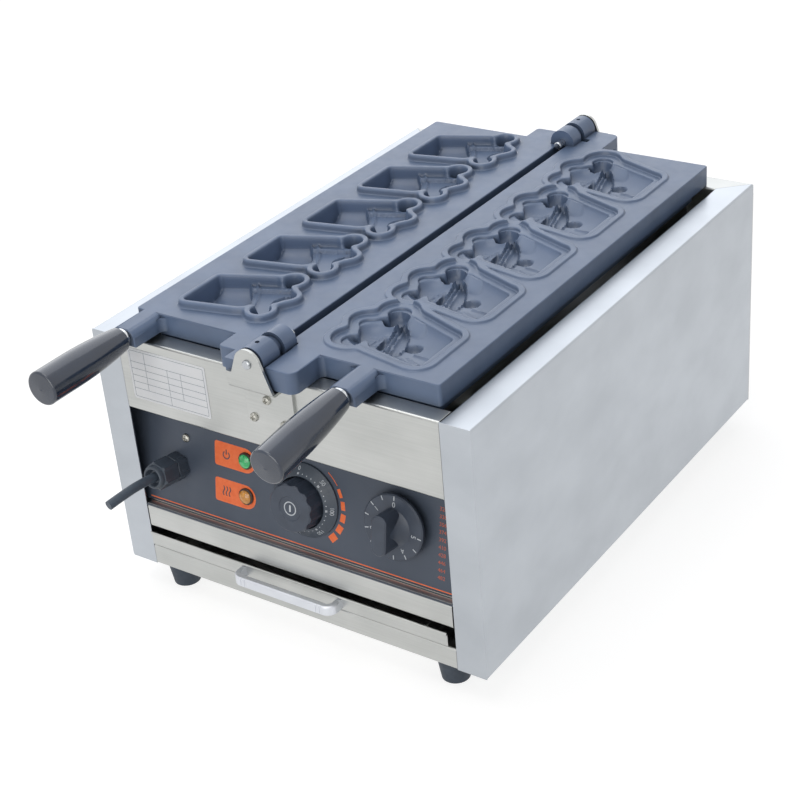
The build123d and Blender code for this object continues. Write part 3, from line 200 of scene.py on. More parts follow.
def relief(tree, shader, pattern, depth, edge=0.0):
    """Bumps of a depth in millimetres, over edges that are eased by a radius in millimetres."""
    bump = add(tree, "ShaderNodeBump", {"Strength": 1.0, "Distance": depth * MM},
               {"Height": pattern})
    if edge:
        eased = add(tree, "ShaderNodeBevel", {"Radius": edge * MM}, samples=4)
        tree.links.new(eased.outputs["Normal"], bump.inputs["Normal"])
    tree.links.new(bump.outputs["Normal"], shader.inputs["Normal"])


print("helpers ready")

# %% [markdown]
# ## The cord
# Only a short length of the mains cord shows, cut off square just in front of the gland, so that
# is what is made: no coil is added. It is a curve of one NURBS spline with a round section. The
# four points are the route that the CAD's tube follows: out of the panel, across and up, in
# millimetres. A control-point spline bends evenly between them, as rubber does, where straight
# runs joined by arcs would look like wire.

# %% Make the cord
CORD_DIAMETER = 8.5
GLAND_ACROSS = -132.0
GLAND_UP = 42.5
GLAND_REACH = 32.0
CORD_STEPS = [(0.0, 0.0, 0.0), (18.0, 0.0, 3.1739), (37.0, -1.2, 3.6), (56.0, -4.6, 0.8)]


def cord_sheath():
    """Rubber sheath, extruded: matt, with faint lines along it and a dusty bloom."""
    material, tree, shader = new_finish("extruded_rubber_sheath", {"Roughness": 0.5})
    feed(tree, shader, two_tone(tree, grain(tree, 5.0), "#444E5B", "#525E6C"))
    relief(tree, shader, grain(tree, 0.8), 0.03)
    return material


start = on_panel(GLAND_ACROSS, GLAND_UP, GLAND_REACH).translation
route = [start + MM * Vector((side, -out, rise)) for out, side, rise in CORD_STEPS]
line = bpy.data.curves.new("cord", "CURVE")
line.dimensions = "3D"
line.bevel_depth = CORD_DIAMETER / 2 * MM
line.bevel_resolution = 5
line.resolution_u = 12
line.use_fill_caps = True
spline = line.splines.new("NURBS")
spline.points.add(len(route) - 1)
for point, place in zip(spline.points, route):
    point.co = (*place, 1.0)
spline.order_u = 3
spline.use_endpoint_u = True
line.materials.append(cord_sheath())
cord = bpy.data.objects.new("cord_stub", line)
scene.collection.objects.link(cord)
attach(cord, "casing")
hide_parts("power_cord")
print("cord from", [round(c, 4) for c in route[0]], "to", [round(c, 4) for c in route[-1]])

# %% [markdown]
# ## Floor, light and backdrop
# The machine was photographed on pure white. The floor and the world are white only where the
# camera, a reflection or clear plastic looks at them, by Light Path, and stay moderate as a light
# source. The machine's tops shine and its front and right walls are dark, so the key is a large
# soft lamp behind it on the left, where the tops mirror it to the camera. A broad lamp in front
# lights the panel, and a small one overhead fills the rest.

# %% Make the floor and the lamps
FLOOR_SIZE = 12.0
LAMP_AIM = Vector((0, 0, 0.2))
WORLD_LIGHT = 0.3
FLOOR_GLOW = 0.75
LAMPS = {
    "key": dict(place=(-1.1, 1.3, 1.5), size=2.6, power=18.5, tint="#F4F8FF"),
    "fill": dict(place=(0.5, -2.3, 0.9), size=1.9, power=24.0, tint="#FFFDF8"),
    "top": dict(place=(-0.25, -0.35, 2.0), size=1.2, power=10.0, tint="#FFFFFF"),
}


def seen_directly(tree):
    """1 for camera, mirror and glass rays, and 0 for light that bounces around."""
    path = add(tree, "ShaderNodeLightPath")
    seen = path.outputs["Is Camera Ray"]
    for kind in ("Is Glossy Ray", "Is Transmission Ray"):
        either = add(tree, "ShaderNodeMath", links={0: seen, 1: path.outputs[kind]},
                     operation="MAXIMUM")
        seen = either.outputs[0]
    return seen


def white_world():
    """White where it is looked at, and a moderate source of light."""
    world = bpy.data.worlds.new("white_studio")
    world.use_nodes = True
    tree = world.node_tree
    background = tree.nodes["Background"]
    background.inputs["Color"].default_value = (1, 1, 1, 1)
    strength = add(tree, "ShaderNodeMapRange", {"To Min": WORLD_LIGHT, "To Max": 1.0},
                   {"Value": seen_directly(tree)})
    tree.links.new(strength.outputs["Result"], background.inputs["Strength"])
    return world


def white_floor():
    """Matt paper that also glows where it is looked at, so that only a soft shadow shows."""
    material, tree, shader = new_finish("matt_white_paper", {
        "Roughness": 0.9, "Base Color": colour("#B0B0B0"), "Specular IOR Level": 0.0,
        "Emission Color": (1, 1, 1, 1)})
    glow = add(tree, "ShaderNodeMath", {1: FLOOR_GLOW}, {0: seen_directly(tree)},
               operation="MULTIPLY")
    tree.links.new(glow.outputs[0], shader.inputs["Emission Strength"])
    return material


scene.world = white_world()
half = FLOOR_SIZE / 2
floor_mesh = bpy.data.meshes.new("floor")
floor_corners = [(-half, -half, 0), (half, -half, 0), (half, half, 0), (-half, half, 0)]
floor_mesh.from_pydata(floor_corners, [], [(0, 1, 2, 3)])
floor_mesh.materials.append(white_floor())
floor = bpy.data.objects.new("floor", floor_mesh)
scene.collection.objects.link(floor)
for name, lamp in LAMPS.items():
    light = bpy.data.lights.new(name, "AREA")
    light.energy = lamp["power"]
    light.color = colour(lamp["tint"])[:3]
    light.size = lamp["size"]
    holder = bpy.data.objects.new(name, light)
    holder.location = lamp["place"]
    aim = LAMP_AIM - Vector(lamp["place"])
    holder.rotation_euler = aim.to_track_quat("-Z", "Y").to_euler()
    scene.collection.objects.link(holder)
print("lamps:", ", ".join(LAMPS))

# %% [markdown]
# ## Sheet steel
# The casing is stainless steel sheet, grade 304. The front is lightly brushed, with a faint grain along each
# panel. The real brush lines are finer than the picture shows, so they are drawn about a millimetre apart. The
# side panels are left in the mill's dull rolled finish, with no grain. The front's warm grey and the sides' cooler
# grey are painted light, the tint of the light that falls on each side, and the sides' faint cloudy patches are
# painted reflection, where the sheet is not quite flat.

# %% Steel finishes
BRUSH_SHARE = 0.3


def brushed_stainless():
    material, tree, shader = new_finish("brushed_stainless_sheet", {"Metallic": 1.0})
    clouds = vary(tree, grain(tree, 70, (1, 0.7, 1.4), 3.0), 0, 1)
    lines = grain(tree, 1.2, (0.02, 0.02, 1), 1.0)
    tone = add(tree, "ShaderNodeMix", {SHARE: BRUSH_SHARE},
               {NUMBER_A: clouds, NUMBER_B: vary(tree, lines, 0, 1)}, data_type="FLOAT")
    # Painted light: the warm grey stands for the warm light that falls on the front.
    base = two_tone(tree, tone.outputs[0], "#B1B3B1", "#C4C5C3")
    feed(tree, shader, base, vary(tree, clouds, 0.34, 0.28))
    relief(tree, shader, lines, 0.004, 0.5)
    return material


def rolled_stainless():
    material, tree, shader = new_finish("mill_rolled_stainless_sheet", {"Metallic": 1.0})
    clouds = vary(tree, grain(tree, 60, (1, 1, 1.5), 3.0), 0, 1)
    # Painted light: the cooler grey stands for the cooler light on the sides, and the clouds are painted
    # reflection of a sheet that is not quite flat.
    base = two_tone(tree, clouds, "#B0B5BB", "#B9BEC4")
    feed(tree, shader, base, vary(tree, clouds, 0.32, 0.305))
    relief(tree, shader, grain(tree, 1.5), 0.003, 0.5)
    return material


def worked_metal(name, first, second, roughness, patch=6.0):
    """Turned, headed or cast metal: bright, with handling wear in patches, in millimetres."""
    material, tree, shader = new_finish(name, {"Metallic": 1.0})
    wear = vary(tree, grain(tree, patch), 0, 1)
    rub = vary(tree, grain(tree, patch / 2), roughness * 0.85, roughness * 1.2)
    feed(tree, shader, two_tone(tree, wear, first, second), rub)
    relief(tree, shader, grain(tree, 0.9), 0.003, 0.25)
    return material


finishes = {
    "stainless": brushed_stainless(),
    "side_sheet": rolled_stainless(),
    "bright_steel": worked_metal("turned_bright_steel", "#C9CDD2", "#E2E4E6", 0.16),
    "screw_steel": worked_metal("zinc_plated_screw_steel", "#A3A29C", "#BAB9B2", 0.3, 12.0),
    "cast_handle": worked_metal("satin_die_cast_zinc", "#CFD2D9", "#DADDE3", 0.36, 30.0),
    "pin_steel": worked_metal("ground_pin_steel", "#A9ADB2", "#C4C7CA", 0.24),
    "heater_sheath": worked_metal("drawn_heater_sheath", "#5C5A57", "#77736E", 0.42),
}
print("steel finishes:", len(finishes))

# %% [markdown]
# ## Coated castings and panel
# The mould plates are sand-cast aluminium with a sprayed non-stick coating, slate blue. Sprayed coating on a
# casting is satin, a little uneven in tone, and keeps a fine orange-peel texture. Its corners and hollows are
# painted darker as shade, where an Ambient Occlusion node finds them enclosed.
# The control panel is steel sheet with a satin powder coat. Both are dielectrics over metal, so
# they stay non-metallic and get their sheen from the coating's roughness.

# %% Coated finishes
CORNER_REACH = 12.0
# Painted shade: the colour that enclosed corners and hollows are darkened towards.
CORNER_SHADE_PAINT = "#3C485B"


def nonstick_casting():
    material, tree, shader = new_finish("nonstick_coated_casting", {"Metallic": 0.0})
    clouds = grain(tree, 45, detail=3.0)
    sprayed = two_tone(tree, vary(tree, clouds, 0, 1), "#5D6E8A", "#687A98")
    # Painted shade: the more enclosed a point is, the darker its colour is painted.
    shelter = add(tree, "ShaderNodeAmbientOcclusion", {"Distance": CORNER_REACH * MM}, samples=8)
    open_air = add(tree, "ShaderNodeMapRange", {"From Min": 0.35, "From Max": 0.95},
                   {"Value": shelter.outputs["AO"]})
    corner_shaded = add(tree, "ShaderNodeMix", {COLOUR_A: colour(CORNER_SHADE_PAINT)},
                   {SHARE: open_air.outputs["Result"], COLOUR_B: sprayed}, data_type="RGBA")
    feed(tree, shader, corner_shaded.outputs[COLOUR_OUT], vary(tree, grain(tree, 9), 0.3, 0.39))
    relief(tree, shader, grain(tree, 1.4, detail=3.0), 0.03)
    return material


def powder_coat():
    material, tree, shader = new_finish("satin_powder_coat", {})
    clouds = vary(tree, grain(tree, 60, (1, 1, 0.5)), 0, 1)
    base = two_tone(tree, clouds, "#434C5B", "#4D5665")
    feed(tree, shader, base, vary(tree, grain(tree, 8), 0.4, 0.5))
    relief(tree, shader, grain(tree, 0.9, detail=1.0), 0.02, 0.4)
    return material


finishes["mould_coating"] = nonstick_casting()
finishes["dark_panel"] = powder_coat()
print("coated finishes ready")

# %% [markdown]
# ## Mouldings
# The grips are pressed phenolic, hard and glossy. The knobs are moulded ABS with a fine spark
# texture, the gland is nylon and a little waxier, and the lenses are clear coloured acrylic. One
# function makes all the opaque mouldings, because they differ only in tone, gloss and texture.

# %% Moulded finishes


def moulded(name, first, second, gloss, texture, patch=12.0, eased=0.3, coat=0.0):
    """Plastic or rubber in two close tones, with a texture in millimetres and a polished skin."""
    material, tree, shader = new_finish(name, {"Coat Weight": coat, "Coat Roughness": 0.06})
    tone = vary(tree, grain(tree, patch), 0, 1)
    rub = vary(tree, grain(tree, 3.0), gloss * 0.85, gloss * 1.15)
    feed(tree, shader, two_tone(tree, tone, first, second), rub)
    relief(tree, shader, grain(tree, 0.7, detail=1.0), texture, eased)
    return material


def lens(name, first, second):
    """Clear coloured acrylic over a lamp: mostly colour, with a clear gloss and a faint glow."""
    material, tree, shader = new_finish(name, {
        "Roughness": 0.12, "IOR": 1.49, "Coat Weight": 0.6, "Emission Color": colour(second),
        "Emission Strength": 0.12})
    feed(tree, shader, two_tone(tree, vary(tree, grain(tree, 3.0), 0, 1), first, second))
    return material


finishes.update({
    "grip_plastic": moulded("pressed_phenolic", "#232E41", "#2B374B", 0.2, 0.001, 25.0, coat=0.6),
    "knob_plastic": moulded("spark_textured_abs", "#3B4351", "#434C5B", 0.42, 0.012),
    "dark_moulding": moulded("moulded_black_nylon", "#3E4753", "#47515E", 0.42, 0.003),
    "black_rubber": moulded("moulded_rubber", "#333C48", "#3E4855", 0.6, 0.03),
    "white_moulding": moulded("moulded_white_nylon", "#D9D8D2", "#E4E3DE", 0.4, 0.006),
    "white_plate": moulded("lacquered_white_sheet", "#EBEEF4", "#F2F4F8", 0.35, 0.002, 25.0,
                           eased=0.0),
    "fibre_mat": moulded("pressed_glass_fibre", "#C9C4B6", "#E0DCD0", 0.9, 0.3),
    "lamp_orange": moulded("moulded_lamp_bezel", "#3A2A24", "#46332B", 0.35, 0.004),
    "green_lens": lens("green_acrylic", "#0F8F4A", "#2ACB74"),
    "amber_lens": lens("amber_acrylic", "#9A5A12", "#DE9A34"),
    "cord_sheath": cord.data.materials[0],
})
own_finish = {
    "side_panel_left": "side_sheet", "side_panel_right": "side_sheet",
    "drawer_handle": "cast_handle",
    "bracket_screws": "screw_steel", "control_panel_screw": "screw_steel",
}
for part in frame["record"]["subparts"]:
    surface = frame["nodes"][part["node"]].data
    surface.materials.clear()
    surface.materials.append(finishes[own_finish.get(part["node"], part["material_slot"])])

# %% [markdown]
# ## Making a piece
# A finished piece has its origin at the frame's origin and its place in its mesh, and rides on one body; where its
# mesh has no material, it takes the finish of the record's slot. One function does that for every mesh below.

# %% Helpers for meshes
import bmesh
import numpy as np
from mathutils.geometry import delaunay_2d_cdt

SQUARE = 0.9999
WELD = 1e-6
AROUND = 96


def piece(name, mesh, body, slot, place=None, soft_below=None):
    """Links a mesh as a finished piece: placed, dressed, shaded and riding on its body.

    Edges under soft_below degrees are shaded round, but faces square to an axis stay dead flat.
    """
    mesh.name = name
    if place is not None:
        mesh.transform(place)
    if not mesh.materials:
        mesh.materials.append(finishes[slot])
    made = bpy.data.objects.new(name, mesh)
    scene.collection.objects.link(made)
    if soft_below:
        mesh.shade_smooth()
        mesh.set_sharp_from_angle(angle=math.radians(soft_below))
        for face in mesh.polygons:
            face.use_smooth = max(abs(c) for c in face.normal) < SQUARE
    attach(made, body)
    return made


def freed(work, name):
    """The mesh of an edited bmesh, which is then freed."""
    mesh = bpy.data.meshes.new(name)
    work.to_mesh(mesh)
    work.free()
    return mesh


def evaluated(made):
    """The mesh that an object gives with its modifiers; the object is removed."""
    scene.collection.objects.link(made)
    graph = bpy.context.evaluated_depsgraph_get()
    mesh = bpy.data.meshes.new_from_object(made.evaluated_get(graph), depsgraph=graph)
    made.modifiers.clear()
    bpy.data.objects.remove(made)
    return mesh


def merged_copy(node):
    """A CAD node's mesh with its loose triangles joined at their shared corners."""
    mesh = frame["nodes"][node].data.copy()
    work = bmesh.new()
    work.from_mesh(mesh)
    bmesh.ops.remove_doubles(work, verts=work.verts, dist=WELD)
    work.to_mesh(mesh)
    work.free()
    mesh.materials.clear()
    return mesh


def skinned(rings, name):
    """A closed solid over rings of points, with a face on the first and the last."""
    work = bmesh.new()
    rings = [[work.verts.new(point) for point in ring] for ring in rings]
    work.faces.new(rings[0][::-1])
    work.faces.new(rings[-1])
    for lower, upper in zip(rings, rings[1:]):
        for i in range(len(lower)):
            j = (i + 1) % len(lower)
            work.faces.new((lower[i], lower[j], upper[j], upper[i]))
    bmesh.ops.recalc_face_normals(work, faces=work.faces)
    return freed(work, name)


def strip(profile, first, last):
    """A closed strip along X between two places, from a profile of (y, z) points in metres."""
    return skinned([[(x, y, z) for y, z in profile] for x in (first, last)], "strip")


def turned(profile, flats):
    """A closed solid turned from (radius, height) points, with six flats where it is wider."""
    rings = [[] for _ in profile]
    for angle in (2 * math.pi * i / AROUND for i in range(AROUND)):
        off_middle = (angle + math.pi / 6) % (math.pi / 3) - math.pi / 6
        for ring, (radius, height) in zip(rings, profile):
            reach = min(radius, flats / 2 / math.cos(off_middle))
            ring.append((reach * math.cos(angle), reach * math.sin(angle), height))
    return skinned(rings, "turned")


print("mesh helpers ready")

# %% [markdown]
# ## The drawer's front and the ledge
# The drawer's front is folded sheet: its top edge is rolled forward a little, which catches the
# light, and its lower edge stops short of the rail, which leaves a dark line. The ledge under the
# control panel is steel, with the panel's own lower edge turned out over it as a bright lip.

# %% Fold the drawer's front and lay the ledge
ROLL_TURN = 230
ROLL_STEPS = 12
ROLL_RADIUS = 1.3 * MM
ROLL_FORWARD = 0.6 * MM
LOWER_GAP = 1.5 * MM
LEDGE_SHEET = 0.5 * MM
LEDGE_BACK = 6.6 * MM
LEDGE_FRONT = 0.7 * MM
LIP = 0.9 * MM

low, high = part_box("drawer_front")
roll = []
for i in range(ROLL_STEPS + 1):
    angle = math.radians(ROLL_TURN - ROLL_TURN * i / ROLL_STEPS)
    roll.append((high.y - ROLL_RADIUS - ROLL_FORWARD + ROLL_RADIUS * math.cos(angle),
                 high.z - ROLL_RADIUS + ROLL_RADIUS * math.sin(angle)))
foot, neck = low.z + LOWER_GAP, high.z - 2 * ROLL_RADIUS
profile = [(high.y, foot), (low.y, foot), (low.y, neck), *roll, (high.y, neck)]
front_sheet = piece("drawer_front_sheet", strip(profile, low.x, high.x), "drawer", "stainless",
                    soft_below=40)
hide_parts("drawer_front")
bar_low, bar_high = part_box("front_crossbar")
for name, near, far, under, thick in [
        ("ledge_sheet", bar_low.y + LEDGE_FRONT, bar_low.y + LEDGE_BACK, panel_origin.z,
         LEDGE_SHEET),
        ("panel_lower_lip", panel_origin.y - LIP, panel_origin.y, panel_origin.z + LIP, LIP)]:
    section = [(near, under), (near, under + thick), (far, under + thick), (far, under)]
    piece(name, strip(section, bar_low.x, bar_high.x), "casing", "stainless")
print("drawer front from", round(low.x, 4), "to", round(high.x, 4))

# %% [markdown]
# ## The gland's nut
# A cable gland grips the cord with a nut that is moulded in one with its hexagon and ends in a
# round mouth. The mouth is hollow round the cord. A turned profile gives both, because the flats
# are cut where the profile is wider than they are apart, which also leaves their chamfers.

# %% Turn the gland's nut
NUT_FLATS = 23.5
NUT_TURN = 15.0
NUT_PROFILE = [(11.6, 0.2), (13.6, 1.2), (13.6, 12.4), (11.4, 12.8), (11.4, 13.6), (13.6, 14.0),
               (13.6, 30.2), (12.2, 31.4), (10.9, 31.6), (10.7, 34.4), (9.9, 36.0), (9.0, 36.4),
               (8.0, 36.0), (6.8, 33.4), (5.6, 31.9)]

nut_place = on_panel(GLAND_ACROSS, GLAND_UP, turn=NUT_TURN) @ Matrix.Scale(MM, 4)
nut = piece("gland_nut", turned(NUT_PROFILE, NUT_FLATS), "casing", "dark_moulding",
            place=nut_place, soft_below=28)
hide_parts("gland_dome_nut")
print("gland nut:", len(nut.data.polygons), "faces")

# %% [markdown]
# ## The figure in the moulds
# Both plates bake the same figure: an eared animal's head and shoulders. Its outline is written
# as a distance field, a function that gives how far a point lies outside the outline. Discs for
# the head, the ears and a tuft, and a tapering body, are blended by a smooth minimum, so that
# their joints are rounded as a pattern maker would leave them. A distance field also gives every
# line that follows the outline, such as the rim, the recess and the cavity's wall.
# In this frame u runs from the hinge line outwards and v towards the back, in millimetres.

# %% Define the figure's outline
HEAD = (62.0, 4.0, 22.5)
EARS = [(56.0, 34.0, 10.0), (47.0, -23.0, 9.0)]
TUFT = (41.0, 8.0, 7.0)
BODY = [(118.3, 11.0), (118.3, -32.5), (71.0, -18.0), (71.0, 24.0)]
BODY_ROUND_BASE = 4.0
BODY_ROUND_NECK = 9.0
JOIN = 5.0
CAVITIES = 5
CAVITY_PITCH = 89.3


def disc(u, v, centre_u, centre_v, radius):
    """Distance outside a disc."""
    return np.hypot(u - centre_u, v - centre_v) - radius


def smooth_min(a, b, reach):
    """The lower of two fields, rounded where they are closer than the reach."""
    share = np.clip(0.5 + 0.5 * (b - a) / reach, 0, 1)
    return b + (a - b) * share - reach * share * (1 - share)


def smooth_max(a, b, reach):
    """The higher of two fields, rounded in the same way."""
    return -smooth_min(-a, -b, reach)


def edge_distance(u, v, a, b):
    """Distance from the straight edge between two points."""
    ex, ey = b[0] - a[0], b[1] - a[1]
    along = np.clip(((u - a[0]) * ex + (v - a[1]) * ey) / (ex * ex + ey * ey), 0, 1)
    return np.hypot(u - a[0] - along * ex, v - a[1] - along * ey)


def polygon_distance(u, v, corners):
    """Distance outside a convex polygon, negative inside."""
    nearest = np.full(np.shape(u), np.inf)
    inside = np.ones(np.shape(u), bool)
    for a, b in zip(corners, corners[1:] + corners[:1]):
        nearest = np.minimum(nearest, edge_distance(u, v, a, b))
        inside &= ((b[0] - a[0]) * (v - a[1]) - (b[1] - a[1]) * (u - a[0])) <= 0
    return np.where(inside, -nearest, nearest)


def along_body(u):
    """0 at the neck and 1 at the figure's foot."""
    return np.clip((u - BODY[2][0]) / (BODY[0][0] - BODY[2][0]), 0, 1)


def figure(u, v):
    """Distance from one figure's outline, negative inside it."""
    share = along_body(u)
    rounding = BODY_ROUND_NECK + (BODY_ROUND_BASE - BODY_ROUND_NECK) * share
    field = polygon_distance(u, v, BODY) - rounding
    for lobe in [HEAD, *EARS, TUFT]:
        field = smooth_min(field, disc(u, v, *lobe), JOIN)
    return field


def nearest_figure(u, v):
    """Distance from the nearest of a plate's figures, and v in that figure's own frame."""
    places = [(i - (CAVITIES - 1) / 2) * CAVITY_PITCH for i in range(CAVITIES)]
    fields = np.array([figure(u, v - place) for place in places])
    which = fields.argmin(0)
    own_v = v - np.array(places)[which]
    return fields.min(0), own_v


in_head = figure(*np.array(HEAD[:2]).reshape(2, 1))[0]
print("outline at the head's middle:", round(float(in_head), 2), "mm")

# %% [markdown]
# ## The two reliefs
# A mould is the figure turned inside out: what stands out on the waffle is deep in the plate.
# Each relief is a depth under the plate's top, built from bowls, troughs and ridges, which are
# merged by the deepest one with a soft edge. Both share one half-round trough, as wide as the
# body is at each place. The left plate has the figure's back: the trough, a double collar line
# and a shallow head. The right plate has its front: a round head, a deep snout, an arm, and a
# long ribbed paw that lies across the belly.

# %% Define the reliefs' forms
TROUGH_MIDDLE = (3.0, -13.75)
TROUGH_HALF = (31.5, -4.25)


def own_frame(u, v, middle, angle):
    """Places as seen from a form's middle, along it and across it."""
    a = math.radians(angle)
    du, dv = u - middle[0], v - middle[1]
    return du * math.cos(a) + dv * math.sin(a), dv * math.cos(a) - du * math.sin(a)


def bowl(u, v, middle, half_u, half_v, depth, angle=0.0, power=0.5):
    """Depth of an elliptic bowl, zero outside it. A low power makes its wall steep."""
    along, across = own_frame(u, v, middle, angle)
    x, y = along / half_u, across / half_v
    return depth * np.clip(1 - x * x - y * y, 0, None) ** power


def step(x, width):
    """Soft step from 0 to 1 as x passes from -width/2 to width/2."""
    t = np.clip(x / width + 0.5, 0, 1)
    return t * t * (3 - 2 * t)


def ridge(x, width, height):
    """How much a soft ridge along x = 0 lifts the floor."""
    return height * np.exp(-(x / (width / 2)) ** 2)


def body_trough(u, v, depth):
    """A half-round trough along the body, which runs out at the body's two long edges."""
    share = along_body(u)
    middle = TROUGH_MIDDLE[0] + TROUGH_MIDDLE[1] * share
    half = TROUGH_HALF[0] + TROUGH_HALF[1] * share
    return depth * np.clip(1 - ((v - middle) / half) ** 2, 0, None) ** 0.5


print("relief forms ready")

# %% [markdown]
# Each relief is written as a short table of forms and a function that adds them up. A bowl's row
# gives its middle, two half sizes, depth, turn and power. A collar line's row gives how far it
# lies beyond the collar, its width and its height. A line's row gives its ends, width and height.

# %% Carve the left relief
BACK_TROUGH = 16.3
BACK_HEAD = 3.6
BACK_HEAD_DROP = 3.4
HEAD_BAND = 8
HEAD_EDGE = 33.0
HEAD_EDGE_SLOPE = 0.38
COLLAR_MIDDLE = (146.7, -32.6)
COLLAR_RADIUS = 75.3
COLLAR_LINES = [(0.8, 2.0, 1.3), (6.8, 1.8, 1.5)]
BACK_HOLLOWS = [((51, 14), 11, 12.5, 14.5, 20, 0.28), ((60, 39), 7.5, 5.5, 9.0, -35, 0.5)]
BACK_EAR = ((47, -24), 7, 7, 1.6)
HOLLOW_SOFT = 0.8


def back_relief(u, v):
    """Depth of the left plate's cavity floor."""
    beyond = np.hypot(u - COLLAR_MIDDLE[0], v - COLLAR_MIDDLE[1]) - COLLAR_RADIUS
    far_edge = HEAD_EDGE - HEAD_EDGE_SLOPE * (u - BODY[2][0])
    head = BACK_HEAD + BACK_HEAD_DROP * step(far_edge - HEAD_BAND - v, 1.6)
    depth = head + (body_trough(u, v, BACK_TROUGH) - head) * step(-beyond, 2.0)
    for away, width, height in COLLAR_LINES:
        depth = depth - ridge(beyond - away, width, height)
    for hollow in BACK_HOLLOWS:
        depth = smooth_max(depth, bowl(u, v, *hollow), HOLLOW_SOFT)
    return depth + bowl(u, v, *BACK_EAR)


SAMPLE = np.meshgrid(np.arange(30, 125), np.arange(-40, 45))
print("deepest point at the back, mm:", round(float(back_relief(*SAMPLE).max()), 2))

# %% Carve the right relief
FRONT_FLOOR = 4.6
FRONT_TROUGH = 12.0
FACE = ((55, -5), 21, 23, 12.5)
FACE_SOFT = 1.2
NECK = 68
CHEEK_MIDDLE = (64, -8)
CHEEK_HALF = (8, 14)
CHEEK_END = 62
SHOULDER = ((77, 24), 16, 8, 2.4, -28, 0.6)
PAW_MIDDLE = (77.3, -3.2)
PAW_ANGLE = 110.0
PAW_LENGTH = 27.0
PAW_WIDTH = 7.6
PAW_DEPTH = 8.2
PAW_SLANT = 5.2
RIB_PITCH = 3.2
RIB_DEPTH = 0.8
RIB_LEAN = 0.05
FRONT_HOLLOWS = [((57, 27), 11.5, 12.5, 17.2, 0.0, 0.28), ((92, -1), 9, 7, 17.4, 25, 0.22),
                 ((66.5, -8), 13, 4.4, 16.8, PAW_ANGLE, 0.25)]
FACE_LINES = [((49, v - 4), (54, v - 2), 1.6, 0.7) for v in (-4, 0, 4)]
BELLY_LINES = [((99, 5 * side - 15), (114, 8 * side - 19), 2.2, 1.5) for side in (-1, 1)]
DEEPEST = 17.6


def front_relief(u, v):
    """Depth of the right plate's cavity floor."""
    trough = body_trough(u, v, FRONT_TROUGH)
    depth = FRONT_FLOOR + (trough - FRONT_FLOOR) * step(u - NECK, 8.0)
    depth = smooth_max(depth, bowl(u, v, *FACE), FACE_SOFT)
    depth = depth - bowl(u, v, *SHOULDER)
    for hollow in FRONT_HOLLOWS:
        depth = smooth_max(depth, bowl(u, v, *hollow), HOLLOW_SOFT)
    cheek = np.hypot((u - CHEEK_MIDDLE[0]) / CHEEK_HALF[0],
                     (v - CHEEK_MIDDLE[1]) / CHEEK_HALF[1]) - 1
    depth = depth - ridge(cheek, 0.2, 1.2) * step(CHEEK_END - u, 2.0)
    along, across = own_frame(u, v, PAW_MIDDLE, PAW_ANGLE)
    edge = np.hypot(along / PAW_LENGTH, across / PAW_WIDTH)
    wave_of_ribs = np.cos(2 * math.pi * (across + RIB_LEAN * along) / RIB_PITCH)
    ribs = RIB_DEPTH * wave_of_ribs * step(across - 0.5, 2.0)
    paw = PAW_DEPTH + PAW_SLANT * step(2.0 - across, 12.0) + ribs
    depth = depth + (paw - depth) * step(1 - edge, 0.1)
    depth = depth - ridge(edge - 1.03, 0.12, 2.6)
    for start, end, width, height in FACE_LINES + BELLY_LINES:
        depth = depth - ridge(edge_distance(u, v, start, end), width, height)
    return np.clip(depth, 0, DEEPEST)


print("deepest point in front, mm:", float(front_relief(*SAMPLE).max()))

# %% [markdown]
# ## Meshing a relief
# A plain grid of points would leave steps on the steep walls. So lines of equal distance from the
# outline are traced first: the rim's shoulders, the recess and the wall at several depths. They
# become fixed edges of one triangulation, and a loose grid fills what lies between. Then each
# point is moved to its height. The walls keep their smooth curve, and flat areas stay cheap.

# %% Mesh helpers for the reliefs
TRACE_STEP = 1.6
FILL_STEP = 1.25
LEFT_PROFILE = [(0.0, 4.2), (0.35, 5.0), (0.9, 5.45), (1.7, 5.6), (3.5, 5.6), (4.4, 5.3),
                (5.0, 4.6), (5.4, 3.4), (5.7, 1.3), (6.2, 0.3), (7.2, 0.0)]
RIGHT_PROFILE = [(0.0, -3.4), (0.4, -2.8), (1.0, -2.55), (1.8, -2.5), (6.6, -2.5), (7.4, -2.2),
                 (7.9, -1.2), (8.2, 0.6), (8.6, 1.25), (9.3, 1.5), (13.0, 1.5), (13.8, 1.25),
                 (14.3, 0.6), (14.6, 0.15), (15.4, 0.0)]
WALL_LINES = [-0.4, -0.8, -1.2, -1.6, -2.1, -2.8, -3.6]
WALL_SLOPE = 9.0
WALL_SOFT = 1.6
FILL_CLEAR = 0.5
BORDER_CLEAR = 0.05


def level_line(us, vs, field, level):
    """Pairs of points where a field on a grid crosses a level, two triangles to a grid cell."""
    grid = np.stack(np.meshgrid(us, vs, indexing="ij"), -1)
    corners = [(slice(None, -1), slice(None, -1)), (slice(1, None), slice(None, -1)),
               (slice(1, None), slice(1, None)), (slice(None, -1), slice(1, None))]
    found = []
    for trio in ((0, 1, 2), (0, 2, 3)):
        points = np.stack([grid[corners[i]].reshape(-1, 2) for i in trio], 1)
        values = np.stack([field[corners[i]].reshape(-1) for i in trio], 1) - level
        above = values > 0
        count = above.sum(1)
        keep = (count > 0) & (count < 3)
        points, values, above, count = points[keep], values[keep], above[keep], count[keep]
        odd = np.argmax(above == (count == 1)[:, None], axis=1)
        rows = np.arange(len(odd))
        pair = []
        for shift in (1, 2):
            other = (odd + shift) % 3
            share = values[rows, odd] / (values[rows, odd] - values[rows, other])
            way = points[rows, other] - points[rows, odd]
            pair.append(points[rows, odd] + way * share[:, None])
        found.append(np.stack(pair, 1))
    return np.concatenate(found)


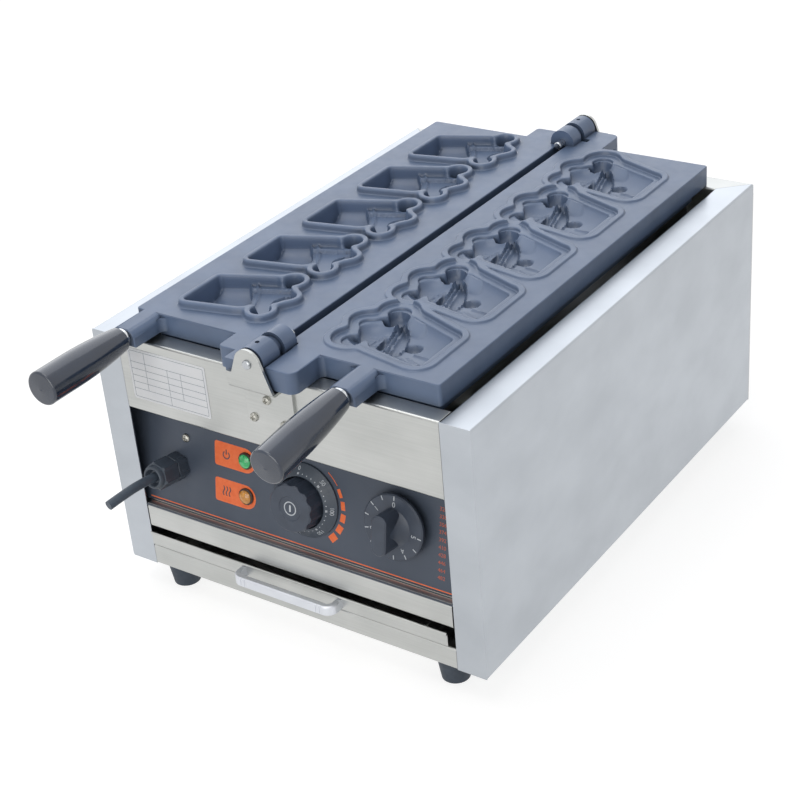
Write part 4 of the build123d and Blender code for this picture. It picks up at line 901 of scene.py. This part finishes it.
def tighten(points, function, level):
    """Moves points along the field's slope until they lie on its level."""
    small = 0.01
    for _ in range(2):
        u, v = points[..., 0], points[..., 1]
        value = function(u, v) - level
        slope_u = (function(u + small, v) - function(u - small, v)) / (2 * small)
        slope_v = (function(u, v + small) - function(u, v - small)) / (2 * small)
        square = np.maximum(slope_u ** 2 + slope_v ** 2, 0.05)
        move = np.clip(value / square, -1, 1)[..., None]
        points = points - np.stack([slope_u, slope_v], -1) * move
    return points


def relief_mesh(low, high, profile, floor_depth, bottom):
    """A closed block, in millimetres, whose top is a mould's face.

    The profile gives the rims or recesses outside the figures, and floor_depth the cavities.
    """
    us = np.arange(low[0], high[0] + TRACE_STEP, TRACE_STEP)
    vs = np.arange(low[1], high[1] + TRACE_STEP, TRACE_STEP)
    field = nearest_figure(*np.meshgrid(us, vs, indexing="ij"))[0]

    def outline(u, v):
        return nearest_figure(u, v)[0]

    levels = [distance for distance, _ in profile] + WALL_LINES
    segments = np.concatenate([tighten(level_line(us, vs, field, level), outline, level)
                               for level in levels])
    inside = (segments > np.add(low, BORDER_CLEAR)) & (segments < np.subtract(high, BORDER_CLEAR))
    segments = segments[inside.all((1, 2))]
    traced, index = np.unique(np.round(segments.reshape(-1, 2), 3), axis=0, return_inverse=True)
    edges = [tuple(pair) for pair in index.reshape(-1, 2).tolist() if pair[0] != pair[1]]
    fill_u, fill_v = np.meshgrid(*(np.arange(start + 1, end, FILL_STEP)
                                   for start, end in zip(low, high)), indexing="ij")
    in_cavity = outline(fill_u, fill_v) < WALL_LINES[-1] - FILL_CLEAR
    fill = np.stack([fill_u, fill_v], -1)[in_cavity]
    corners = [low, (high[0], low[1]), high, (low[0], high[1])]
    count = len(traced) + len(fill)
    border = [(count + i, count + (i + 1) % 4) for i in range(4)]
    points = [Vector(point) for point in np.concatenate([traced, fill, corners]).tolist()]
    flat, _, faces, sources, _, _ = delaunay_2d_cdt(points, edges + border, [], 1, 1e-4)
    u, v = np.array([point[:] for point in flat]).T
    distance, own_v = nearest_figure(u, v)
    rim = np.interp(distance, [d for d, _ in profile], [z for _, z in profile])
    wall = profile[0][1] + distance * WALL_SLOPE
    floor = np.minimum(-floor_depth(u, own_v), profile[0][1])
    z = np.where(distance < 0, smooth_max(wall, floor, WALL_SOFT), rim)
    vertices = np.stack([u, v, z], -1).tolist()
    above = [next(i for i, source in enumerate(sources) if count + k in source) for k in range(4)]
    under = [len(vertices) + k for k in range(4)]
    vertices += [(*corner, bottom) for corner in corners]
    sides = [(above[k], under[k], under[(k + 1) % 4], above[(k + 1) % 4]) for k in range(4)]
    faces = [tuple(face) for face in faces] + sides + [tuple(reversed(under))]
    mesh = bpy.data.meshes.new("relief")
    mesh.from_pydata(vertices, [], faces)
    return mesh


print("relief helpers ready")

# %% [markdown]
# ## The mould plates
# The CAD plate has the right outside, hinge knuckles and stud, and a simpler relief. A pocket is
# cut into a copy of it, and the relief block above fills that pocket flush with the top. The left
# plate's figures stand in raised rims, and the right plate's lie in stepped recesses that those
# rims enter when it closes. The two share one outline, so they must be made from one function.

# %% Cut the pockets and set in the reliefs
POCKET_LOW = (14.0, -237.6)
POCKET_HIGH = (146.0, 237.6)
POCKET_DEPTH = 18.9
POCKET_CLEAR = 12.0
PLATE_BELOW_HINGE = 2.0

hinge = next(joint for joint in frame["joints"] if joint["name"] == "left_mould_hinge")
plate_top = hinge["pos_m"][2] - PLATE_BELOW_HINGE * MM
panel_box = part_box("side_panel_left")
plate_middle = (panel_box[0].y + panel_box[1].y) / 2


def pocketed(node, place):
    """A copy of a CAD plate with the pocket cut out."""
    block = bmesh.new()
    low, high = Vector((*POCKET_LOW, -POCKET_DEPTH)), Vector((*POCKET_HIGH, POCKET_CLEAR))
    fitted = Matrix.Translation((low + high) / 2) @ Matrix.Diagonal((*(high - low), 1))
    bmesh.ops.create_cube(block, size=1.0, matrix=fitted)
    cutter = bpy.data.objects.new("cutter", freed(block, "cutter"))
    cutter.data.transform(place)
    if place.determinant() < 0:
        cutter.data.flip_normals()
    scene.collection.objects.link(cutter)
    plate = bpy.data.objects.new("plate", merged_copy(node))
    cut = plate.modifiers.new("pocket", "BOOLEAN")
    cut.operation = "DIFFERENCE"
    cut.solver = "EXACT"
    cut.object = cutter
    mesh = evaluated(plate)
    bpy.data.objects.remove(cutter)
    return mesh


sides = {
    "left": (-1, LEFT_PROFILE, back_relief),
    "right": (1, RIGHT_PROFILE, front_relief),
}
for side, (sign, profile, floor_depth) in sides.items():
    place = (Matrix.Translation((0, plate_middle, plate_top))
             @ Matrix.Diagonal((sign * MM, MM, MM, 1)))
    node, body = f"{side}_mould_plate", f"{side}_mould"
    shell = piece(f"{side}_plate_casting", pocketed(node, place), body, "mould_coating",
                  soft_below=35)
    mesh = relief_mesh(POCKET_LOW, POCKET_HIGH, profile, floor_depth, -POCKET_DEPTH)
    mesh.transform(place)
    if sign < 0:
        mesh.flip_normals()
    insert = piece(f"{side}_plate_relief", mesh, body, "mould_coating", soft_below=50)
    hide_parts(node)
    print(side, "relief:", len(mesh.polygons), "faces, shell:", len(shell.data.polygons))

# %% [markdown]
# ## Printed marks
# The marks on the panel are screen printed: flat blocks, lines and dots of ink, a tenth of a
# millimetre thick. One Geometry Nodes tree sets any row of marks on an arc. Its inputs are the
# marks' count, inner radius, first angle and sweep, their sizes at both ends, and how many sides
# each mark has. It makes the thermostat's growing blocks, the dots and the timer's ticks.

# %% Build the tree for marks on an arc
DEGREE = math.pi / 180


def marks_on_an_arc():
    """The tree: prisms with a few sides, sized, turned and tilted along an arc."""
    tree = bpy.data.node_groups.new("marks_on_an_arc", "GeometryNodeTree")
    kinds = {"Count": "Int", "Sides": "Int", "Material": "Material"}
    for name in ("Count", "Sides", "Radius", "First Angle", "Sweep", "Length First", "Length Last",
                 "Width First", "Width Last", "Thickness", "Tilt", "Material"):
        tree.interface.new_socket(name, in_out="INPUT",
                                  socket_type=f"NodeSocket{kinds.get(name, 'Float')}")
    tree.interface.new_socket("Geometry", in_out="OUTPUT", socket_type="NodeSocketGeometry")
    given = add(tree, "NodeGroupInput").outputs

    def maths(operation, first, second):
        numbers = {i: x for i, x in enumerate((first, second)) if isinstance(x, (int, float))}
        links = {i: x for i, x in enumerate((first, second)) if i not in numbers}
        return add(tree, "ShaderNodeMath", numbers, links, operation=operation).outputs[0]

    def between(first, last, share):
        growth = maths("SUBTRACT", given[last], given[first])
        return maths("ADD", given[first], maths("MULTIPLY", share, growth))

    index = add(tree, "GeometryNodeInputIndex").outputs[0]
    share = maths("DIVIDE", index, maths("MAXIMUM", maths("SUBTRACT", given["Count"], 1), 1))
    gone = maths("MULTIPLY", given["Sweep"], share)
    angle = maths("MULTIPLY", maths("ADD", given["First Angle"], gone), DEGREE)
    width = between("Width First", "Width Last", share)
    length = between("Length First", "Length Last", share)
    radius = maths("ADD", given["Radius"], maths("DIVIDE", width, 2))
    place = add(tree, "ShaderNodeCombineXYZ", links={
        0: maths("MULTIPLY", radius, maths("COSINE", angle, 0)),
        1: maths("MULTIPLY", radius, maths("SINE", angle, 0))})
    points = add(tree, "GeometryNodePoints",
                 links={"Count": given["Count"], "Position": place.outputs[0]})
    half_turn = maths("DIVIDE", math.pi, given["Sides"])
    around = maths("DIVIDE", 0.5, maths("COSINE", half_turn, 0))
    prism = add(tree, "GeometryNodeMeshCylinder", {"Depth": 1.0},
                {"Vertices": given["Sides"], "Radius": around})
    turn = add(tree, "ShaderNodeCombineXYZ", links={2: half_turn})
    mark = add(tree, "GeometryNodeTransform",
               links={"Geometry": prism.outputs["Mesh"], "Rotation": turn.outputs[0]})
    tilt = maths("MULTIPLY", given["Tilt"], DEGREE)
    facing = add(tree, "ShaderNodeCombineXYZ", links={1: tilt, 2: angle})
    size = add(tree, "ShaderNodeCombineXYZ", links={0: width, 1: length, 2: given["Thickness"]})
    placed = add(tree, "GeometryNodeInstanceOnPoints", links={
        "Points": points.outputs[0], "Instance": mark.outputs[0], "Rotation": facing.outputs[0],
        "Scale": size.outputs[0]})
    whole = add(tree, "GeometryNodeRealizeInstances", links={0: placed.outputs[0]})
    inked = add(tree, "GeometryNodeSetMaterial",
                links={"Geometry": whole.outputs[0], "Material": given["Material"]})
    add(tree, "NodeGroupOutput", links={0: inked.outputs[0]})
    return tree


def grown(tree, **values):
    """Runs a Geometry Nodes tree with these inputs and returns its mesh."""
    made = bpy.data.objects.new("grown", bpy.data.meshes.new("grown"))
    modifier = made.modifiers.new("grow", "NODES")
    modifier.node_group = tree
    for socket in tree.interface.items_tree:
        if socket.in_out == "INPUT":
            modifier[socket.identifier] = values[socket.name.replace(" ", "_").lower()]
    return evaluated(made)


arc_tree = marks_on_an_arc()
print("tree inputs:", [s.name for s in arc_tree.interface.items_tree if s.in_out == "INPUT"])

# %% [markdown]
# ## Inks and digits
# The inks are orange-red and a duller orange on the panel, off-white on the dials, dark on the
# tags and grey on the plate. All are a satin epoxy ink. Digits are cut from the standard font,
# made flat and thin, and joined with the marks beside them in one mesh, as one pass prints them.

# %% Make the inks and the helpers that place marks
INK = 0.12
THERMOSTAT = (11.0, 48.0)
TIMER = (108.0, 53.5)


def ink(name, first, second):
    """Screen-printed epoxy ink: satin, and thin enough for the coat's texture to show through."""
    return moulded(name, first, second, 0.45, 0.012, 4.0, 0.0)


orange_ink = ink("orange_screen_ink", "#F4703C", "#FC7E48")
faded_ink = ink("faded_orange_screen_ink", "#C05A3E", "#CE6648")
white_ink = ink("white_screen_ink", "#C3CAD3", "#D6DBE1")
dark_ink = ink("dark_screen_ink", "#3A3F49", "#434955")
grey_ink = ink("grey_offset_ink", "#7E8894", "#8B95A1")
slot_of = {part["node"]: part["material_slot"] for part in frame["record"]["subparts"]}


def laid(mesh, place):
    """A mesh made in millimetres, moved to its place."""
    mesh.transform(place @ Matrix.Scale(MM, 4))
    return mesh


def marks(place, **values):
    """A row of marks on an arc about a place, given in millimetres."""
    usual = dict(sides=4, sweep=0.0, thickness=INK, tilt=0.0)
    for first, last in (("length_first", "length_last"), ("width_first", "width_last")):
        usual[last] = values[first]
    return laid(grown(arc_tree, **{**usual, **values}), place)


def digits(text, size, place):
    """A number as a thin mesh, centred on its place."""
    curve = bpy.data.curves.new("digits", "FONT")
    curve.body = text
    curve.size = size
    curve.align_x = "CENTER"
    curve.align_y = "CENTER"
    curve.extrude = INK / 2
    return laid(evaluated(bpy.data.objects.new("digits", curve)), place)


def flat_shape(loops, place):
    """A thin printed shape from closed outlines; an outline inside another is a hole."""
    curve = bpy.data.curves.new("shape", "CURVE")
    curve.dimensions = "2D"
    curve.fill_mode = "BOTH"
    curve.extrude = INK / 2
    for loop in loops:
        spline = curve.splines.new("POLY")
        spline.points.add(len(loop) - 1)
        for point, (x, y) in zip(spline.points, loop):
            point.co = (x, y, 0, 1)
        spline.use_cyclic_u = True
    return laid(evaluated(bpy.data.objects.new("shape", curve)), place)


def bend(centre, radius, first, last, steps=8):
    """Points along an arc, its angles in degrees."""
    angles = [math.radians(first + (last - first) * i / steps) for i in range(steps + 1)]
    return [(centre[0] + radius * math.cos(a), centre[1] + radius * math.sin(a)) for a in angles]


def box_loop(low, high, radius):
    """A rectangle with rounded corners."""
    (x0, y0), (x1, y1) = np.add(low, radius), np.subtract(high, radius)
    middles = [(x1, y0), (x1, y1), (x0, y1), (x0, y0)]
    return [point for i, middle in enumerate(middles)
            for point in bend(middle, radius, 90 * i - 90, 90 * i, 5)]


def printed(name, shapes, material, node, body="casing"):
    """One piece of many marks, all in one ink."""
    whole = bmesh.new()
    for mesh in shapes:
        whole.from_mesh(mesh)
        bpy.data.meshes.remove(mesh)
    bmesh.ops.remove_doubles(whole, verts=whole.verts, dist=WELD)
    for face in whole.faces:
        face.material_index = 0
    mesh = freed(whole, name)
    mesh.materials.append(material)
    return piece(name, mesh, body, slot_of[node])


print("ink thickness", INK, "mm")

# %% [markdown]
# ## Marks on the panel
# The orange marks are the line along the ledge, the blocks that grow round the thermostat as it
# gets hotter, and a thin arc before them. A column of plain numbers in a thinner, duller ink
# stands on the right.

# %% Print the panel
BLOCK_RADIUS = 36.5
ARC_RADIUS = 38.2
LINE_MIDDLE = (-2.5, 3.5)
LINE_LENGTH = 329.0
COLUMN_FIRST = 320
COLUMN_STEP = 18
COLUMN_ROWS = 10
COLUMN_PITCH = 6.9
COLUMN_TOP = 77.0
COLUMN_ACROSS = 149.3
COLUMN_SIZE = 4.9

panel_marks = [
    marks(on_panel(*THERMOSTAT), count=5, radius=BLOCK_RADIUS, first_angle=23.1, sweep=-67.8,
          length_first=8.0, width_first=3.3, width_last=6.7, material=orange_ink),
    marks(on_panel(*THERMOSTAT), count=14, radius=ARC_RADIUS, first_angle=53.0, sweep=-18.6,
          length_first=1.1, width_first=0.8, material=orange_ink),
    marks(on_panel(*LINE_MIDDLE), count=1, radius=-0.5, first_angle=90.0,
          length_first=LINE_LENGTH, width_first=1.0, material=orange_ink),
]
print("orange marks:", len(panel_marks), "groups")
printed("panel_orange_print", panel_marks, orange_ink, "control_panel")
column = [digits(str(COLUMN_FIRST + COLUMN_STEP * row), COLUMN_SIZE,
                 on_panel(COLUMN_ACROSS, COLUMN_TOP - row * COLUMN_PITCH))
          for row in range(COLUMN_ROWS)]
printed("panel_number_column", column, faded_ink, "control_panel")
print("numbers in the column:", COLUMN_ROWS)

# %% [markdown]
# ## The tags round the lamps
# Each lamp sits in the round end of an orange tag with a plain sign on it: the usual ring and bar
# of an on switch, and three rising waves for heat. They are drawn as closed outlines, which a flat
# curve fills.

# %% Print the tags
TAG_LEFT = -90.0
TAG_RIGHT = -44.4
TAG_CORNER = 2.5
SIGN_ACROSS = -77.0
SIGN_LINE = 1.1
SIGN_RING = 4.0
WAVE_HEIGHT = 9.0
WAVE_SWING = 0.9
WAVE_GAP = 3.4
TAGS = {"on_tag": (54.8, 78.1), "heat_tag": (20.5, 43.1)}


def wave(across, up, height, swing):
    """A standing S-shaped stroke."""
    rise = [i / 12 - 0.5 for i in range(13)]
    middle = [(across + swing * math.sin(2 * math.pi * t), up + height * t) for t in rise]
    return ([(x + SIGN_LINE / 2, y) for x, y in middle]
            + [(x - SIGN_LINE / 2, y) for x, y in reversed(middle)])


for name, (low, high) in TAGS.items():
    middle, half = (low + high) / 2, (high - low) / 2
    left = TAG_LEFT + TAG_CORNER
    outline = (bend((TAG_RIGHT - half, middle), half, -90, 90, 24)
               + bend((left, high - TAG_CORNER), TAG_CORNER, 90, 180)
               + bend((left, low + TAG_CORNER), TAG_CORNER, 180, 270))
    printed(name, [flat_shape([outline], on_panel(0, 0))], orange_ink, "control_panel")
    if name == "on_tag":
        ring = (bend((SIGN_ACROSS, middle), SIGN_RING, 125, 415, 24)
                + bend((SIGN_ACROSS, middle), SIGN_RING - SIGN_LINE, 415, 125, 24))
        bar = box_loop((SIGN_ACROSS - SIGN_LINE / 2, middle + 0.5),
                       (SIGN_ACROSS + SIGN_LINE / 2, middle + 5.2), 0.4)
        strokes = [[ring], [bar]]
    else:
        strokes = [[wave(SIGN_ACROSS + shift, middle, WAVE_HEIGHT, WAVE_SWING)]
                   for shift in (-WAVE_GAP, 0, WAVE_GAP)]
    signs = [flat_shape(stroke, on_panel(0, 0, INK)) for stroke in strokes]
    printed(name.replace("tag", "sign"), signs, dark_ink, "control_panel")
print("tags:", ", ".join(TAGS))

# %% [markdown]
# ## The thermostat's ring and knob
# The ring is a shallow cone, and its marks lie on the slope: a dot each ten degrees, a square
# and a number each fifty. Each number stands with its top outwards. The place of a number is a
# chain of matrices: turn round the dial, go out along the radius, tilt down the slope, stand up.
# The knob's face has a dish, and in it a printed ring with one upright bar.

# %% Print the thermostat
RING_INNER, RING_INNER_UP = 24.9, 8.5
RING_OUTER, RING_OUTER_UP = 34.0, 2.0
RING_TILT = math.degrees(math.atan2(RING_INNER_UP - RING_OUTER_UP, RING_OUTER - RING_INNER))
RING_FIRST = 97.5
RING_SWEEP = -200.0
RING_NUMBERS = 5
RING_TOP_NUMBER = 200
DOT_RADIUS = 26.4
NUMBER_RADIUS = 30.2
NUMBER_SIZE = 5.2
KNOB_FACE = 23.2
KNOB_RING = (6.4, 5.4)


def on_ring(radius):
    """The panel frame lifted to the ring's slope at a radius."""
    slope = (RING_INNER_UP - RING_OUTER_UP) / (RING_OUTER - RING_INNER)
    return on_panel(*THERMOSTAT, RING_OUTER_UP + (RING_OUTER - radius) * slope)


def dial_number(text, size, centre, radius, angle, tilt=0.0):
    """A number on a dial, its top outwards."""
    turn = Matrix.Rotation(math.radians(angle), 4, "Z")
    lean = Matrix.Rotation(math.radians(tilt), 4, "Y")
    stand = Matrix.Rotation(math.radians(-90), 4, "Z")
    out = Matrix.Translation((radius * MM, 0, 0))
    return digits(text, size, centre @ turn @ out @ lean @ stand)


ring_marks = [
    marks(on_ring(DOT_RADIUS), count=21, sides=12, radius=25.9, first_angle=RING_FIRST,
          sweep=RING_SWEEP, length_first=1.0, width_first=1.0, tilt=RING_TILT, material=white_ink),
    marks(on_ring(DOT_RADIUS), count=RING_NUMBERS, radius=25.5, first_angle=RING_FIRST,
          sweep=RING_SWEEP, length_first=1.9, width_first=1.8, tilt=RING_TILT, material=white_ink),
]
for i in range(RING_NUMBERS):
    share = i / (RING_NUMBERS - 1)
    ring_marks.append(dial_number(f"{RING_TOP_NUMBER * share:.0f}", NUMBER_SIZE,
                                  on_ring(NUMBER_RADIUS), NUMBER_RADIUS,
                                  RING_FIRST + RING_SWEEP * share, RING_TILT))
printed("thermostat_ring_marks", ring_marks, white_ink, "thermostat_ring")
knob_frame = on_panel(*THERMOSTAT, KNOB_FACE)
knob_ring = [bend((0, 0), radius, 0, 360, 48)[:-1] for radius in KNOB_RING]
knob_bar = [box_loop((-0.9, -3.2), (0.9, 3.2), radius=0.85)]
printed("thermostat_knob_mark", [flat_shape(loops, knob_frame) for loops in (knob_ring, knob_bar)],
        white_ink, "thermostat_knob", "thermostat_control")
print("ring slope", round(RING_TILT, 1), "degrees")

# %% [markdown]
# ## The timer's disc
# The timer turns as one piece, so its marks ride on the knob's body: eleven ticks near the rim, and
# the numbers 0 to 5 inside every second tick.

# %% Print the timer
TIMER_FACE = 12.0
TICKS = 11
TICK_FIRST = 88.0
TICK_STEP = 26.5
TIMER_NUMBER_RADIUS = 20.6
TIMER_NUMBER_SIZE = 6.4

timer_frame = on_panel(*TIMER, TIMER_FACE)
timer_marks = [marks(timer_frame, count=TICKS, radius=24.6, first_angle=TICK_FIRST,
                     sweep=(TICKS - 1) * TICK_STEP, length_first=0.95, width_first=3.8,
                     material=white_ink)]
for number in range((TICKS + 1) // 2):
    timer_marks.append(dial_number(str(number), TIMER_NUMBER_SIZE, timer_frame,
                                   TIMER_NUMBER_RADIUS, TICK_FIRST + 2 * number * TICK_STEP))
printed("timer_marks", timer_marks, white_ink, "timer_knob", "timer_control")
print("timer marks:", len(timer_marks))

# %% [markdown]
# ## The ruled plate
# The white plate on the front is ruled and otherwise plain: a rounded border, a tall heading row,
# and rows of cells. Each line is a thin box of ink on the plate's face.

# %% Rule the plate
PLATE_INSET = 2.0
RULE = 0.4
ROW_UPS = [10.6, 17.2, 23.8, 30.4, 37.0]
COLUMNS = [0.2, 0.5, 0.68]

plate_low, plate_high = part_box("rating_plate_blank")
plate_frame = Matrix.Translation(plate_low) @ Matrix.Rotation(math.radians(90), 4, "X")
plate_wide, plate_tall = ((plate_high - plate_low) / MM).xz
left, right, top = PLATE_INSET, plate_wide - PLATE_INSET, plate_tall - PLATE_INSET
lines = [[box_loop((left, left), (right, top), radius=1.5),
          box_loop((left + RULE, left + RULE), (right - RULE, top - RULE), radius=1.2)]]
for up in ROW_UPS:
    lines.append([box_loop((left, up - RULE / 2), (right, up + RULE / 2), RULE / 4)])
uprights = [(share, ROW_UPS[0], ROW_UPS[-1]) for share in COLUMNS]
uprights += [(COLUMNS[0], ROW_UPS[-1], top), (COLUMNS[1], left, ROW_UPS[0])]
for share, low, high in uprights:
    across = left + (right - left) * share
    lines.append([box_loop((across - RULE / 2, low), (across + RULE / 2, high), RULE / 4)])
printed("plate_ruling", [flat_shape(line, plate_frame) for line in lines], grey_ink,
        "rating_plate_blank")
print("ruled plate", round(plate_wide, 1), "x", round(plate_tall, 1), "mm")

# %% [markdown]
# ## Finish

# %% Finish
import json
